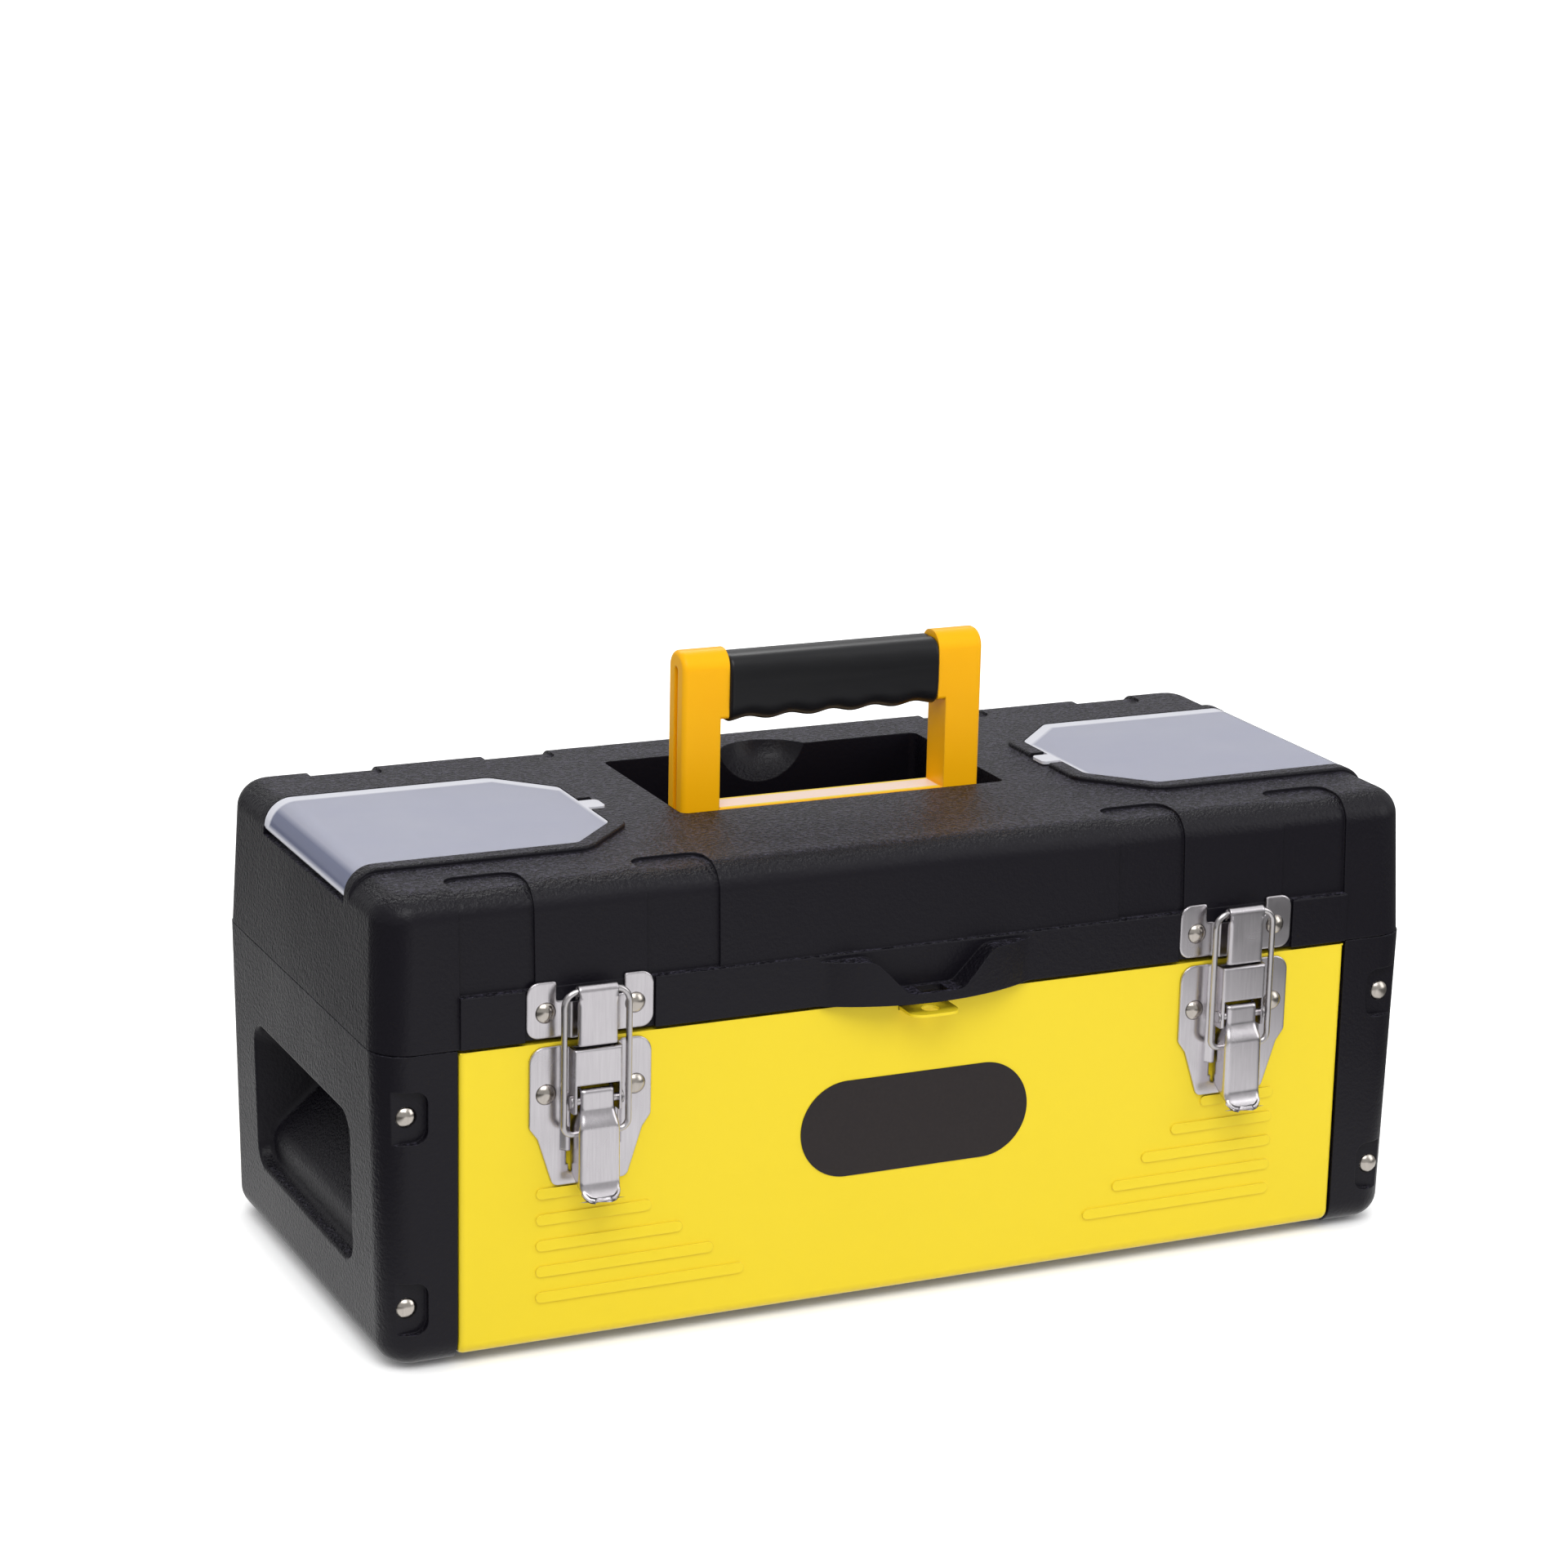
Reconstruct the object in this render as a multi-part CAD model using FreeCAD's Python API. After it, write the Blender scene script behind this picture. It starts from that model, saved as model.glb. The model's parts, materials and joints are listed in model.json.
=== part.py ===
import FreeCAD, Part
import math
import os

V = FreeCAD.Vector

# The whole box, in millimetres: X along the length, front at -Y, Z up from the feet.
# Pieces are drawn about the middle of the body and then moved back together by centre_shift,
# so that the overall depth, latches and hinges included, is centred on the origin.
box_length = 430.0
box_depth = 188.0
split_height = 122.0
lid_height = 57.7
overrun = 6.0
tiny = 0.001
shaft_gap = 0.05
side_signs = {"left": -1, "right": 1}

# Steel wrap: front, floor and back from one painted sheet
sheet = 0.8
panel_inset = 29.8
wrap_floor_height = 4.0
wrap_bend_radius = 5.0
wrap_top_drop = 1.0
margin_step = 4.5
margin_inset = 6.0
margin_trim = 1.6
step_edge_radius = 3.0
hem_width = 7.0
rib_count = 5
rib_inset = 59.7
rib_first_length = 32.8
rib_growth = 12.6
rib_top_drop = 58.7
rib_low_height = 22.9
rib_width = 4.2
rib_rise = 0.7

# Padlock eye: a plate pushed out through a slot in the wrap's front and welded inside
eye_thick = 1.2
eye_half_width = 10.0
eye_reach = 13.0
eye_drop = 2.8
eye_corner_radius = 5.0
eye_hole_radius = 3.5
eye_hole_out = 6.0
eye_tail_half_width = 15.0
eye_tail_depth = 5.0
eye_slot_gap = 0.3

# Bare stadium label on the front panel
label_half_length = 47.6
label_half_height = 19.0
label_mid_x = -2.0
label_mid_drop = 49.7
label_thick = 0.3

# End caps with side grip pockets
cap_wall = 2.8
cap_seam = 0.2
cap_floor_height = 1.4
cap_end_taper = 2.5
cap_corner_radius = 12.8
cap_edge_radius = 10.0
cap_flange_reach = 7.0
cap_flange_side_inset = 11.0
foot_half_depth = 20.0
foot_side_inset = 34.0
foot_inner_inset = 34.0
foot_outer_inset = 14.0
foot_corner_radius = 6.0
grip_side_inset = 36.0
grip_low_height = 30.0
grip_high_drop = 32.8
grip_shallow_depth = 7.5
grip_lean_shares = (0.236, 0.583)
grip_pocket_depth = 27.6
grip_draw_in = 7.0
grip_corner_radius = 9.0
grip_bend_radius = 8.0
grip_seam_radius = 3.0
grip_mouth_radius = 1.5
grip_wall = 2.4
shelf_drop = 6.8
shelf_thick = 2.4
shelf_reach = 22.0
shelf_side_inset = 14.0
dimple_half_height = 10.0
dimple_inset = 18.5
dimple_depth = 2.7
dimple_corner_radius = 5.0

# Rivets: domed heads, shanks and set tails
rivet_head_radius = 4.0
rivet_head_height = 1.8
rivet_shank_radius = 2.0
rivet_tail_radius = 3.0
rivet_tail_height = 1.0
rivet_tail_gap = 0.25
cap_rivet_inset = 11.0
cap_rivet_low_height = 25.3
cap_rivet_high_drop = 23.4

# Lid shell
lid_gap = 0.4
lid_wall = 2.6
lid_end_taper = 2.2
lid_side_taper = 3.0
lid_corner_radius = 14.0
lid_edge_radius = 11.0
skirt_inset = 30.5
skirt_height = 19.3
skirt_rise = 0.9
skirt_edge_radius = 0.7
seat_notch_depth = 0.8
seat_notch_gap = 0.5
band_width = 28.7
band_insets = (132.0, 59.6)
band_depth = 1.3
band_top_reach = 23.5
band_corner_radius = 6.0
tongue_half_width = 46.0
tongue_bulge = 12.0
tongue_height = 17.3
tongue_wall = 2.5
tongue_back_inset = 0.6
scoop_top_half_width = 24.5
scoop_low_half_width = 11.3
scoop_floor_rise = 3.8
scoop_corner_radius = 5.0
scoop_brow_radius = 7.0
padlock_slot_half_width = 5.5
padlock_slot_half_depth = 3.8

# Handle well in the lid
well_half_width = 69.0
well_front = 22.5
well_back = 58.0
well_depth = 30.7
well_wall = 2.4
well_corner_radius = 3.0
dish_radius = 22.0
dish_mid_inset = 10.0
dish_mid_rise = 5.3
dish_wall = 2.4

# Organiser covers and their pockets
cover_mid_y = -2.5
cover_well_gap = 32.5
cover_shoulder_run = 20.9
cover_shoulder_rise = 21.7
cover_side_inset = 46.3
cover_top_rise = 1.7
cover_thick = 1.8
cover_corner_radius = 5.0
cover_side_gap = 0.35
cover_seat_gap = 0.3
rim_rise = 1.9
rim_width = 6.5
rim_edge_radius = 1.0
cover_sink = 0.2
pocket_ledge = 3.5
pocket_depth = 28.0
pocket_wall = 2.0
pocket_end_inset = 13.5
sill_low = 13.0
sill_side = 7.0
knuckle_radius = 2.3
knuckle_inset = 2.5
knuckle_drop = 8.5
knuckle_gap = 0.4
end_lip_drop = 3.5
stub_radius = 1.5
stub_reach = 3.0
tab_half_width = 5.0
tab_reach = 7.5
tab_gap = 3.0
tab_thick = 1.2
tab_corner_radius = 2.0

# Handle frame, grip and pivots
leg_width = 15.5
leg_depth = 15.0
handle_half_width = 63.25
handle_side_gap = 0.35
pivot_y = -14.0
pivot_drop = 6.7
handle_rise = 61.8
leg_corner_radius = 7.0
leg_edge_radius = 2.0
leg_groove_width = 3.5
leg_groove_depth = 5.0
leg_groove_low_rise = 4.5
leg_groove_top_drop = 6.0
tie_bar_low_rise = 3.0
tie_bar_top_rise = 6.5
strip_margin = 1.0
strip_thick = 0.3
handle_rod_radius = 2.5
boss_radius = 5.5
boss_length = 7.0
core_half_depth = 5.0
core_half_height = 6.0
collar_width = 3.5
collar_rise = 2.0
collar_edge_radius = 1.5
grip_top_drop = 2.1
grip_height = 26.5
grip_depth = 18.0
grip_round = 8.0
grip_seam_width = 0.8
grip_seam_depth = 0.5
wave_count = 5
wave_depth = 2.0

# Draw latches: keeper on the lid, base on the body
latch_inset = 80.4
plate_thick = 1.2
plate_edge_radius = 0.5
hat_edge_radius = 1.2
soft_edge_radius = 0.4
keeper_half_width = 24.8
keeper_low_rise = 0.9
keeper_top_rise = 22.1
keeper_corner_radius = 5.0
keeper_bridge_rise = 14.6
keeper_bridge_half_width = 11.0
keeper_ear_inner = 13.2
keeper_rise = 2.4
latch_rivet_half_span = 17.4
keeper_rivet_rise = 10.6
base_half_width = 23.8
base_top_drop = 2.2
base_waist_drop = 32.7
base_waist_low_drop = 37.2
base_waist_half_width = 20.5
base_low_drop = 55.9
base_low_half_width = 14.5
base_corner_radius = 6.0
base_low_corner_radius = 3.0
base_hat_half_width = 12.4
base_hat_rise = 2.2
base_hat_low_drop = 42.0
base_rivet_drop = 20.2
window_half_width = 8.7
window_low_drop = 51.0
bridge_half_width = 9.4
bridge_low_drop = 15.8
bridge_edge_radius = 1.0
latch_front_out = 8.8
ear_round = 4.4
pin_out = 6.2
pin_drop = 22.4
pin_radius = 1.5
pin_head_radius = 2.4
pin_head_thick = 0.8

# Lever, wire loop and hook strip
lever_top_rise = 4.8
lever_edge_radius = 1.0
lever_bend_radius = 2.4
lever_flare_radius = 8.0
lever_flange_out = 7.8
lever_flange_back = 2.4
lever_flange_low = 16.0
lever_step_drop = 27.7
lever_step_run = 4.5
lever_step_out = 2.4
lever_blade_low_drop = 52.0
lever_blade_lean = 1.0
lever_tip_drop = 58.4
lever_tip_out = 4.9
lever_waist_half_width = 6.4
lever_blade_half_width = 8.0
lever_tip_half_width = 8.6
wire_radius = 1.2
loop_half_width = 12.6
loop_pivot_drop = 34.7
loop_bar_rise = 19.4
loop_top_radius = 5.5
loop_low_radius = 3.6
loop_end_inner = 6.2
hook_half_width = 7.6
hook_thick = 1.0
hook_fit = 0.05
hook_low_drop = 0.8
hook_back_drop = 3.0

# Rear hinges
hinge_inset = 80.4
hinge_half_width = 24.0
hinge_pin_radius = 1.9
hinge_knuckle_radius = 3.3
hinge_axis_out = 3.9
hinge_mid_half_length = 10.0
hinge_knuckle_gap = 0.4
lid_leaf_height = 16.0
body_leaf_height = 20.0
hinge_rivet_rise = 9.5
hinge_rivet_drop = 11.0
leaf_corner_radius = 4.0
leaf_top_gap = 3.2

# Lift-out tray
tray_end_inset = 34.0
tray_side_inset = 10.0
tray_height = 42.0
tray_wall = 2.0
tray_flange_reach = 17.0
tray_flange_thick = 2.0
tray_flange_side_inset = 18.0
tray_seat_gap = 0.3
tray_corner_radius = 8.0
tray_divider_x = 62.0
tray_handle_rise = 8.0
tray_handle_half_length = 50.0
tray_hole_half_length = 40.0
tray_hole_height = 17.0
tray_hole_top_bar = 6.0

# Values worked out from the sizes above
half_length = box_length / 2
half_depth = box_depth / 2
lid_top_height = split_height + lid_height
lid_floor = split_height + lid_gap
panel_half_length = half_length - panel_inset
margin_half_length = half_length - margin_inset
margin_half_depth = half_depth - margin_step
wrap_top_height = split_height - wrap_top_drop
rib_outer_end = half_length - rib_inset
rib_top_height = split_height - rib_top_drop
rib_pitch = (rib_top_height - rib_low_height) / (rib_count - 1)
label_mid_height = split_height - label_mid_drop
cap_flange_half_depth = half_depth - cap_flange_side_inset
cap_rivet_x = half_length - cap_rivet_inset
cap_rivet_heights = (cap_rivet_low_height, split_height - cap_rivet_high_drop)
foot_mid_depth = half_depth - foot_side_inset
grip_half_depth = half_depth - grip_side_inset
grip_high_height = split_height - grip_high_drop
grip_height_span = grip_high_height - grip_low_height
grip_lean_heights = [grip_low_height + share * grip_height_span for share in grip_lean_shares]
shelf_height = split_height - shelf_drop
shelf_half_depth = half_depth - shelf_side_inset
skirt_half_length = half_length - skirt_inset
cover_inner_x = well_half_width + cover_well_gap
cover_shoulder_x = cover_inner_x + cover_shoulder_run
cover_half_width = half_depth - cover_side_inset
cover_inner_half_width = cover_half_width - cover_shoulder_rise
pocket_end_x = half_length - pocket_end_inset
rim_top_height = lid_top_height + rim_rise
cover_top_height = lid_top_height + cover_top_rise
pivot_height = lid_top_height - pivot_drop
handle_top_height = lid_top_height + handle_rise
grip_top_height = handle_top_height - grip_top_drop
handle_mid_x = handle_half_width + handle_side_gap - well_half_width
leg_inner = handle_half_width - leg_width
seat_notch_floor = half_depth - seat_notch_depth
knuckle_height = cover_top_height - cover_thick - knuckle_drop
knuckle_x = half_length - lid_end_taper - knuckle_inset
latch_x = half_length - latch_inset
latch_front = half_depth + latch_front_out
keeper_low_height = split_height + keeper_low_rise
keeper_top_height = split_height + keeper_top_rise
keeper_bridge_height = split_height + keeper_bridge_rise
keeper_rivet_height = split_height + keeper_rivet_rise
base_top_height = split_height - base_top_drop
base_waist_height = split_height - base_waist_drop
base_waist_low_height = split_height - base_waist_low_drop
base_low_height = split_height - base_low_drop
base_hat_low_height = split_height - base_hat_low_drop
base_rivet_height = split_height - base_rivet_drop
window_low_height = split_height - window_low_drop
bridge_low_height = split_height - bridge_low_drop
pin_height = split_height - pin_drop
lever_step_height = split_height - lever_step_drop
lever_blade_low_height = split_height - lever_blade_low_drop
lever_tip_height = split_height - lever_tip_drop
loop_pivot_height = split_height - loop_pivot_drop
loop_bar_height = split_height + loop_bar_rise
hook_low_height = split_height - hook_low_drop
pin_y = -half_depth - pin_out
loop_y = hook_thick + hook_fit + wire_radius - latch_front
hinge_x = half_length - hinge_inset
hinge_axis_y = half_depth + hinge_axis_out
tray_half_length = half_length - tray_end_inset
tray_half_depth = half_depth - tray_side_inset
tray_flange_half_depth = half_depth - tray_flange_side_inset
tray_rim_height = shelf_height + tray_seat_gap + tray_flange_thick
lever_tip_angle = math.atan2(lever_tip_drop - lever_blade_low_drop, lever_tip_out)
lever_tip_rounding = soft_edge_radius * (1 / math.tan(lever_tip_angle / 2) - 1)
front_reach = latch_front + lever_step_out + lever_blade_lean + lever_tip_out - lever_tip_rounding
back_reach = hinge_axis_y + hinge_knuckle_radius
centre_shift = (front_reach - back_reach) / 2


def box(x_span, y_span, z_span):
    """Box between the low and high ends of three spans."""
    size = [abs(high - low) for low, high in (x_span, y_span, z_span)]
    corner = V(min(x_span), min(y_span), min(z_span))
    return Part.makeBox(size[0], size[1], size[2], corner)


def rod(radius, start, end):
    """Round bar from one point to another."""
    return Part.makeCylinder(radius, (end - start).Length, start, end - start)


def cross_rod(radius, reach, y, z):
    """Round bar along X, reaching equally to both sides of x = 0."""
    return rod(radius, V(-reach, y, z), V(reach, y, z))


def plan(height):
    return lambda u, v: V(u, v, height)


def front(y):
    return lambda u, v: V(u, y, v)


def side(x):
    return lambda u, v: V(x, u, v)


def outline(corners, place):
    """Closed wire through (u, v, radius) corners, each rounded to its own radius."""
    points = [V(u, v, 0) for u, v, radius in corners]
    starts, middles, ends = [], [], []
    for i, here in enumerate(points):
        radius = corners[i][2]
        back = (points[i - 1] - here).normalize()
        ahead = (points[(i + 1) % len(points)] - here).normalize()
        half_turn = back.getAngle(ahead) / 2
        run = radius / math.tan(half_turn)
        starts.append(here + back * run)
        ends.append(here + ahead * run)
        sag = radius / math.sin(half_turn) - radius
        middles.append(here + (back + ahead).normalize() * sag if radius > 0 else here)
    edges = []
    for i in range(len(points)):
        a, m, b = [place(p.x, p.y) for p in (starts[i], middles[i], ends[i])]
        following = starts[(i + 1) % len(points)]
        c = place(following.x, following.y)
        if corners[i][2] > 0:
            edges.append(Part.Arc(a, m, b).toShape())
        if (c - b).Length > tiny:
            edges.append(Part.makeLine(b, c))
    return Part.Wire(edges)


def slab(corners, place, sweep):
    """Solid swept from a rounded outline."""
    return Part.Face(outline(corners, place)).extrude(sweep)


def rectangle(u_span, v_span, radius):
    u0, u1 = u_span
    v0, v1 = v_span
    return [(u0, v0, radius), (u1, v0, radius), (u1, v1, radius), (u0, v1, radius)]


def edges_between(shape, low, high):
    """Edges that lie wholly inside a box given by two corners."""
    reach = FreeCAD.BoundBox(low.x, low.y, low.z, high.x, high.y, high.z)
    return [edge for edge in shape.Edges if reach.isInside(edge.BoundBox)]


def mirrored(shape):
    return shape.mirror(V(0, 0, 0), V(1, 0, 0))


def on_side(shape, side_name):
    """A piece drawn on the right end, or its mirror on the left."""
    return shape if side_name == "right" else mirrored(shape)


def front_and_back(shape):
    return [shape, shape.mirror(V(0, 0, 0), V(0, 1, 0))]


def all_four(shape):
    pair = front_and_back(shape)
    return pair + [mirrored(piece) for piece in pair]


def rivet(seat, outward, grip):
    """Domed rivet: head on its seat, shank through the grip, set tail behind it."""
    dome = (rivet_head_radius ** 2 + rivet_head_height ** 2) / (2 * rivet_head_height)
    ball = Part.makeSphere(dome, V(0, 0, rivet_head_height - dome))
    head = ball.common(Part.makeCylinder(rivet_head_radius, rivet_head_height))
    shank = rod(rivet_shank_radius - shaft_gap, V(0, 0, -grip - rivet_tail_gap), V(0, 0, 0))
    tail_top = -grip - rivet_tail_gap
    tail = rod(rivet_tail_radius, V(0, 0, tail_top - rivet_tail_height), V(0, 0, tail_top))
    solid = head.fuse([shank, tail]).removeSplitter()
    solid.Placement = FreeCAD.Placement(seat, FreeCAD.Rotation(V(0, 0, 1), outward))
    return solid


def rivet_hole(seat, outward, depth):
    """Hole for a shank, from above the seat to the given depth."""
    return rod(rivet_shank_radius, seat + outward * overrun, seat - outward * depth)


# Steel wrap and label

def wrap_block(reach, depth, floor, radius, edge_radius):
    """Channel-shaped block with bent lower edges; its end edges take edge_radius."""
    top = wrap_top_height
    corners = [(-depth, top, 0), (-depth, floor, radius), (depth, floor, radius), (depth, top, 0)]
    block = slab(corners, side(-reach), V(2 * reach, 0, 0))
    if edge_radius > 0:
        ends = [e for e in block.Edges if abs(abs(e.CenterOfMass.x) - reach) < tiny]
        ends = [e for e in ends if e.BoundBox.ZMin < top - tiny]
        block = block.makeFillet(edge_radius, ends)
    return block


def margin_envelope(gap):
    """Outer form of the set-in margins, snipped to the caps' rounded corners; a gap gives their recess."""
    block = wrap_block(margin_half_length + gap, margin_half_depth, wrap_floor_height, wrap_bend_radius, 0)
    return block.common(body_block(margin_trim + cap_seam - gap))


def rib(i, rise, width, y):
    """One pressed rib, drawn on the right."""
    height = rib_top_height - i * rib_pitch
    inner = rib_outer_end - rib_first_length - i * rib_growth
    spans = ((inner, rib_outer_end), (height - width / 2, height + width / 2))
    corners = rectangle(spans[0], spans[1], width / 2 - tiny)
    return slab(corners, front(y), V(0, -rise, 0))


def steel_wrap():
    outer = wrap_block(panel_half_length, half_depth, wrap_floor_height, wrap_bend_radius,
                       step_edge_radius)
    inner = wrap_block(panel_half_length - sheet, half_depth - sheet, wrap_floor_height + sheet,
                       wrap_bend_radius - sheet, step_edge_radius - sheet)
    margin_inner = wrap_block(margin_half_length + overrun, margin_half_depth - sheet,
                              wrap_floor_height + sheet, wrap_bend_radius - sheet, 0)
    hem = box((-panel_half_length + sheet, panel_half_length - sheet),
              (-half_depth + sheet / 2, -half_depth + hem_width),
              (wrap_top_height - sheet, wrap_top_height))
    shell = outer.fuse(margin_envelope(0)).cut([inner, margin_inner])
    shell = shell.fuse(front_and_back(hem))
    ribs = [rib(i, rib_rise, rib_width, -half_depth) for i in range(rib_count)]
    grooves = [rib(i, rib_rise, rib_width - sheet, -half_depth + sheet) for i in range(rib_count)]
    shell = shell.fuse(ribs + [mirrored(piece) for piece in ribs])
    shell = shell.cut(grooves + [mirrored(piece) for piece in grooves])
    shell = shell.cut([eye_slot()] + wrap_holes())
    return shell.removeSplitter()


def eye_low_height():
    return wrap_top_height - eye_drop - eye_thick


def eye_slot():
    half = eye_half_width + eye_slot_gap
    low = eye_low_height()
    return box((-half, half), (-half_depth - overrun, -half_depth + hem_width),
               (low - eye_slot_gap, low + eye_thick + eye_slot_gap))


def eye_plate():
    """Flat plate with a round hole under the lid's tongue, and a wider tail behind the wrap's front."""
    tip, inside = -half_depth - eye_reach, -half_depth + sheet
    wide, tail, r = eye_half_width, eye_tail_half_width, eye_corner_radius
    end = inside + eye_tail_depth
    corners = [(-wide, tip, r), (wide, tip, r), (wide, inside, 0), (tail, inside, 0),
               (tail, end, 0), (-tail, end, 0), (-tail, inside, 0), (-wide, inside, 0)]
    low = eye_low_height()
    plate = slab(corners, plan(low), V(0, 0, eye_thick))
    hole_y = -half_depth - eye_hole_out
    return plate.cut(rod(eye_hole_radius, V(0, hole_y, low - overrun), V(0, hole_y, low + overrun)))


def wrap_holes():
    """Rivet holes for the end caps, latch bases and hinge leaves."""
    holes = []
    for height in cap_rivet_heights:
        seat = V(cap_rivet_x, -margin_half_depth, height)
        holes += all_four(rivet_hole(seat, V(0, -1, 0), overrun))
    for x in (latch_x - latch_rivet_half_span, latch_x + latch_rivet_half_span):
        seat = V(x, -half_depth, base_rivet_height)
        hole = rivet_hole(seat, V(0, -1, 0), overrun)
        holes += [hole, mirrored(hole)]
    for x in hinge_rivet_xs():
        seat = V(x, half_depth, split_height - hinge_rivet_drop)
        hole = rivet_hole(seat, V(0, 1, 0), overrun)
        holes += [hole, mirrored(hole)]
    return holes


def front_label():
    """Bare stadium-shaped label on the front panel."""
    x_span = (label_mid_x - label_half_length, label_mid_x + label_half_length)
    z_span = (label_mid_height - label_half_height, label_mid_height + label_half_height)
    corners = rectangle(x_span, z_span, label_half_height - tiny)
    return slab(corners, front(-half_depth), V(0, -label_thick, 0))


# End caps, drawn on the right

def rounded_rectangle(half_x, half_y, radius, z):
    return outline(rectangle((-half_x, half_x), (-half_y, half_y), radius), plan(z))


def body_block(inset):
    """Body envelope: ends lean in towards the floor, lower edges rounded."""
    low = rounded_rectangle(half_length - cap_end_taper - inset, half_depth - inset,
                            cap_corner_radius - inset, cap_floor_height + inset)
    high = rounded_rectangle(half_length - inset, half_depth - inset,
                             cap_corner_radius - inset, split_height)
    block = Part.makeLoft([low, high], True, True)
    floor = cap_floor_height + inset
    ring = [e for e in block.Edges if e.BoundBox.ZMax < floor + overrun]
    return block.makeFillet(cap_edge_radius - inset, ring)


def cap_cavity():
    """Room inside the cap, between the steel margins and the end wall."""
    room = box((0, half_length), (-margin_half_depth + sheet, margin_half_depth - sheet),
               (wrap_floor_height, split_height))
    return room.common(body_block(cap_wall))


def grip_section(x, wall):
    """Section of the side grip pocket, which draws in with its distance from the end face."""
    shrink = grip_draw_in * (half_length - x) / grip_pocket_depth - wall
    y = grip_half_depth - shrink
    corners = rectangle((-y, y), (grip_low_height + shrink, grip_high_height - shrink), grip_corner_radius)
    return outline(corners, side(x))


def grip_back(wall):
    """Room in front of the pocket's back: shallow below, then leaning in to the deep part."""
    shallow, deep = half_length - grip_shallow_depth, half_length - grip_pocket_depth
    bend_low, bend_high = grip_lean_heights
    lean = math.atan2(shallow - deep, bend_high - bend_low)
    slip = wall * math.tan(lean / 2)
    outside, low, high = half_length + 2 * overrun, grip_low_height - overrun, grip_high_height + overrun
    corners = [(outside, low, 0), (shallow - wall, low, 0),
               (shallow - wall, bend_low - slip, grip_bend_radius),
               (deep - wall, bend_high - slip, grip_bend_radius),
               (deep - wall, high, 0), (outside, high, 0)]
    return slab(corners, front(-half_depth), V(0, box_depth, 0))


def grip_pocket(wall):
    """Tapered pocket through the end face; a wall above zero gives its outer form."""
    floor = half_length - grip_pocket_depth - wall - overrun
    sections = [grip_section(half_length + overrun, wall), grip_section(floor, wall)]
    mouth = Part.makeLoft(sections, True, True)
    pocket = mouth.common(grip_back(wall))
    seams = [e for e in pocket.Edges if e.BoundBox.XMax < half_length - grip_seam_radius]
    return pocket.makeFillet(grip_seam_radius, seams)


def cap_feet():
    """Pads under the cap that carry the box."""
    corners = rectangle((half_length - foot_inner_inset, half_length - foot_outer_inset),
                        (-foot_mid_depth - foot_half_depth, -foot_mid_depth + foot_half_depth),
                        foot_corner_radius)
    return front_and_back(slab(corners, plan(0), V(0, 0, wrap_floor_height)))


def cap_flange():
    """Lip that runs under the wrap's floor."""
    start = panel_half_length + cap_seam
    return box((start - cap_flange_reach, start + overrun), (-cap_flange_half_depth, cap_flange_half_depth),
               (cap_floor_height, wrap_floor_height))


def tray_shelf():
    end = half_length - cap_wall / 2
    return box((end - shelf_reach, end), (-shelf_half_depth, shelf_half_depth),
               (shelf_height - shelf_thick, shelf_height))


def dimple(height):
    """Flat-bottomed dimple round a rivet, running out through the rounded corner."""
    floor = half_depth - dimple_depth
    corners = [(half_length - dimple_inset, height - dimple_half_height, dimple_corner_radius),
               (half_length + overrun, height - dimple_half_height, 0),
               (half_length + overrun, height + dimple_half_height, 0),
               (half_length - dimple_inset, height + dimple_half_height, dimple_corner_radius)]
    return slab(corners, front(-floor), V(0, -dimple_depth - overrun, 0))


def end_cap():
    start = panel_half_length + cap_seam
    keep = box((start, half_length + overrun), (-box_depth, box_depth), (-overrun, split_height))
    block = body_block(0)
    cap = block.common(keep).cut([margin_envelope(cap_seam), cap_cavity()])
    cap = cap.fuse([cap_flange(), tray_shelf(), grip_pocket(grip_wall).common(block)] + cap_feet())
    cap = cap.cut(grip_pocket(0))
    wide = grip_half_depth + overrun
    mouth_low = V(half_length - grip_shallow_depth / 2, -wide, grip_low_height - overrun)
    mouth_high = V(half_length + tiny, wide, grip_high_height + overrun)
    cap = cap.makeFillet(grip_mouth_radius, edges_between(cap, mouth_low, mouth_high))
    cutters = []
    for height in cap_rivet_heights:
        seat = V(cap_rivet_x, dimple_depth - half_depth, height)
        cutters += front_and_back(dimple(height))
        cutters += front_and_back(rivet_hole(seat, V(0, -1, 0), margin_step))
    return cap.cut(cutters).removeSplitter()


def cap_rivets():
    """Eight rivets that hold the caps to the wrap."""
    grip = margin_step - dimple_depth + sheet
    rivets = []
    for height in cap_rivet_heights:
        seat = V(cap_rivet_x, dimple_depth - half_depth, height)
        rivets += all_four(rivet(seat, V(0, -1, 0), grip))
    return Part.makeCompound(rivets)


# Lid shell

def lid_half_sizes(z, inset):
    """Half length and half depth of the leaning lid walls at one height."""
    share = (z - lid_floor) / (lid_top_height - lid_floor)
    return (half_length - lid_end_taper * share - inset, half_depth - lid_side_taper * share - inset)


def lid_block(low, top, inset):
    """Lid envelope drawn in by inset, with leaning walls and rounded upper edges."""
    wires = []
    for z in (low, top):
        half_x, half_y = lid_half_sizes(z, inset)
        wires.append(rounded_rectangle(half_x, half_y, lid_corner_radius - inset, z))
    block = Part.makeLoft(wires, True, True)
    ring = [e for e in block.Edges if e.BoundBox.ZMin > top - overrun]
    return block.makeFillet(lid_edge_radius - inset, ring)


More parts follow.
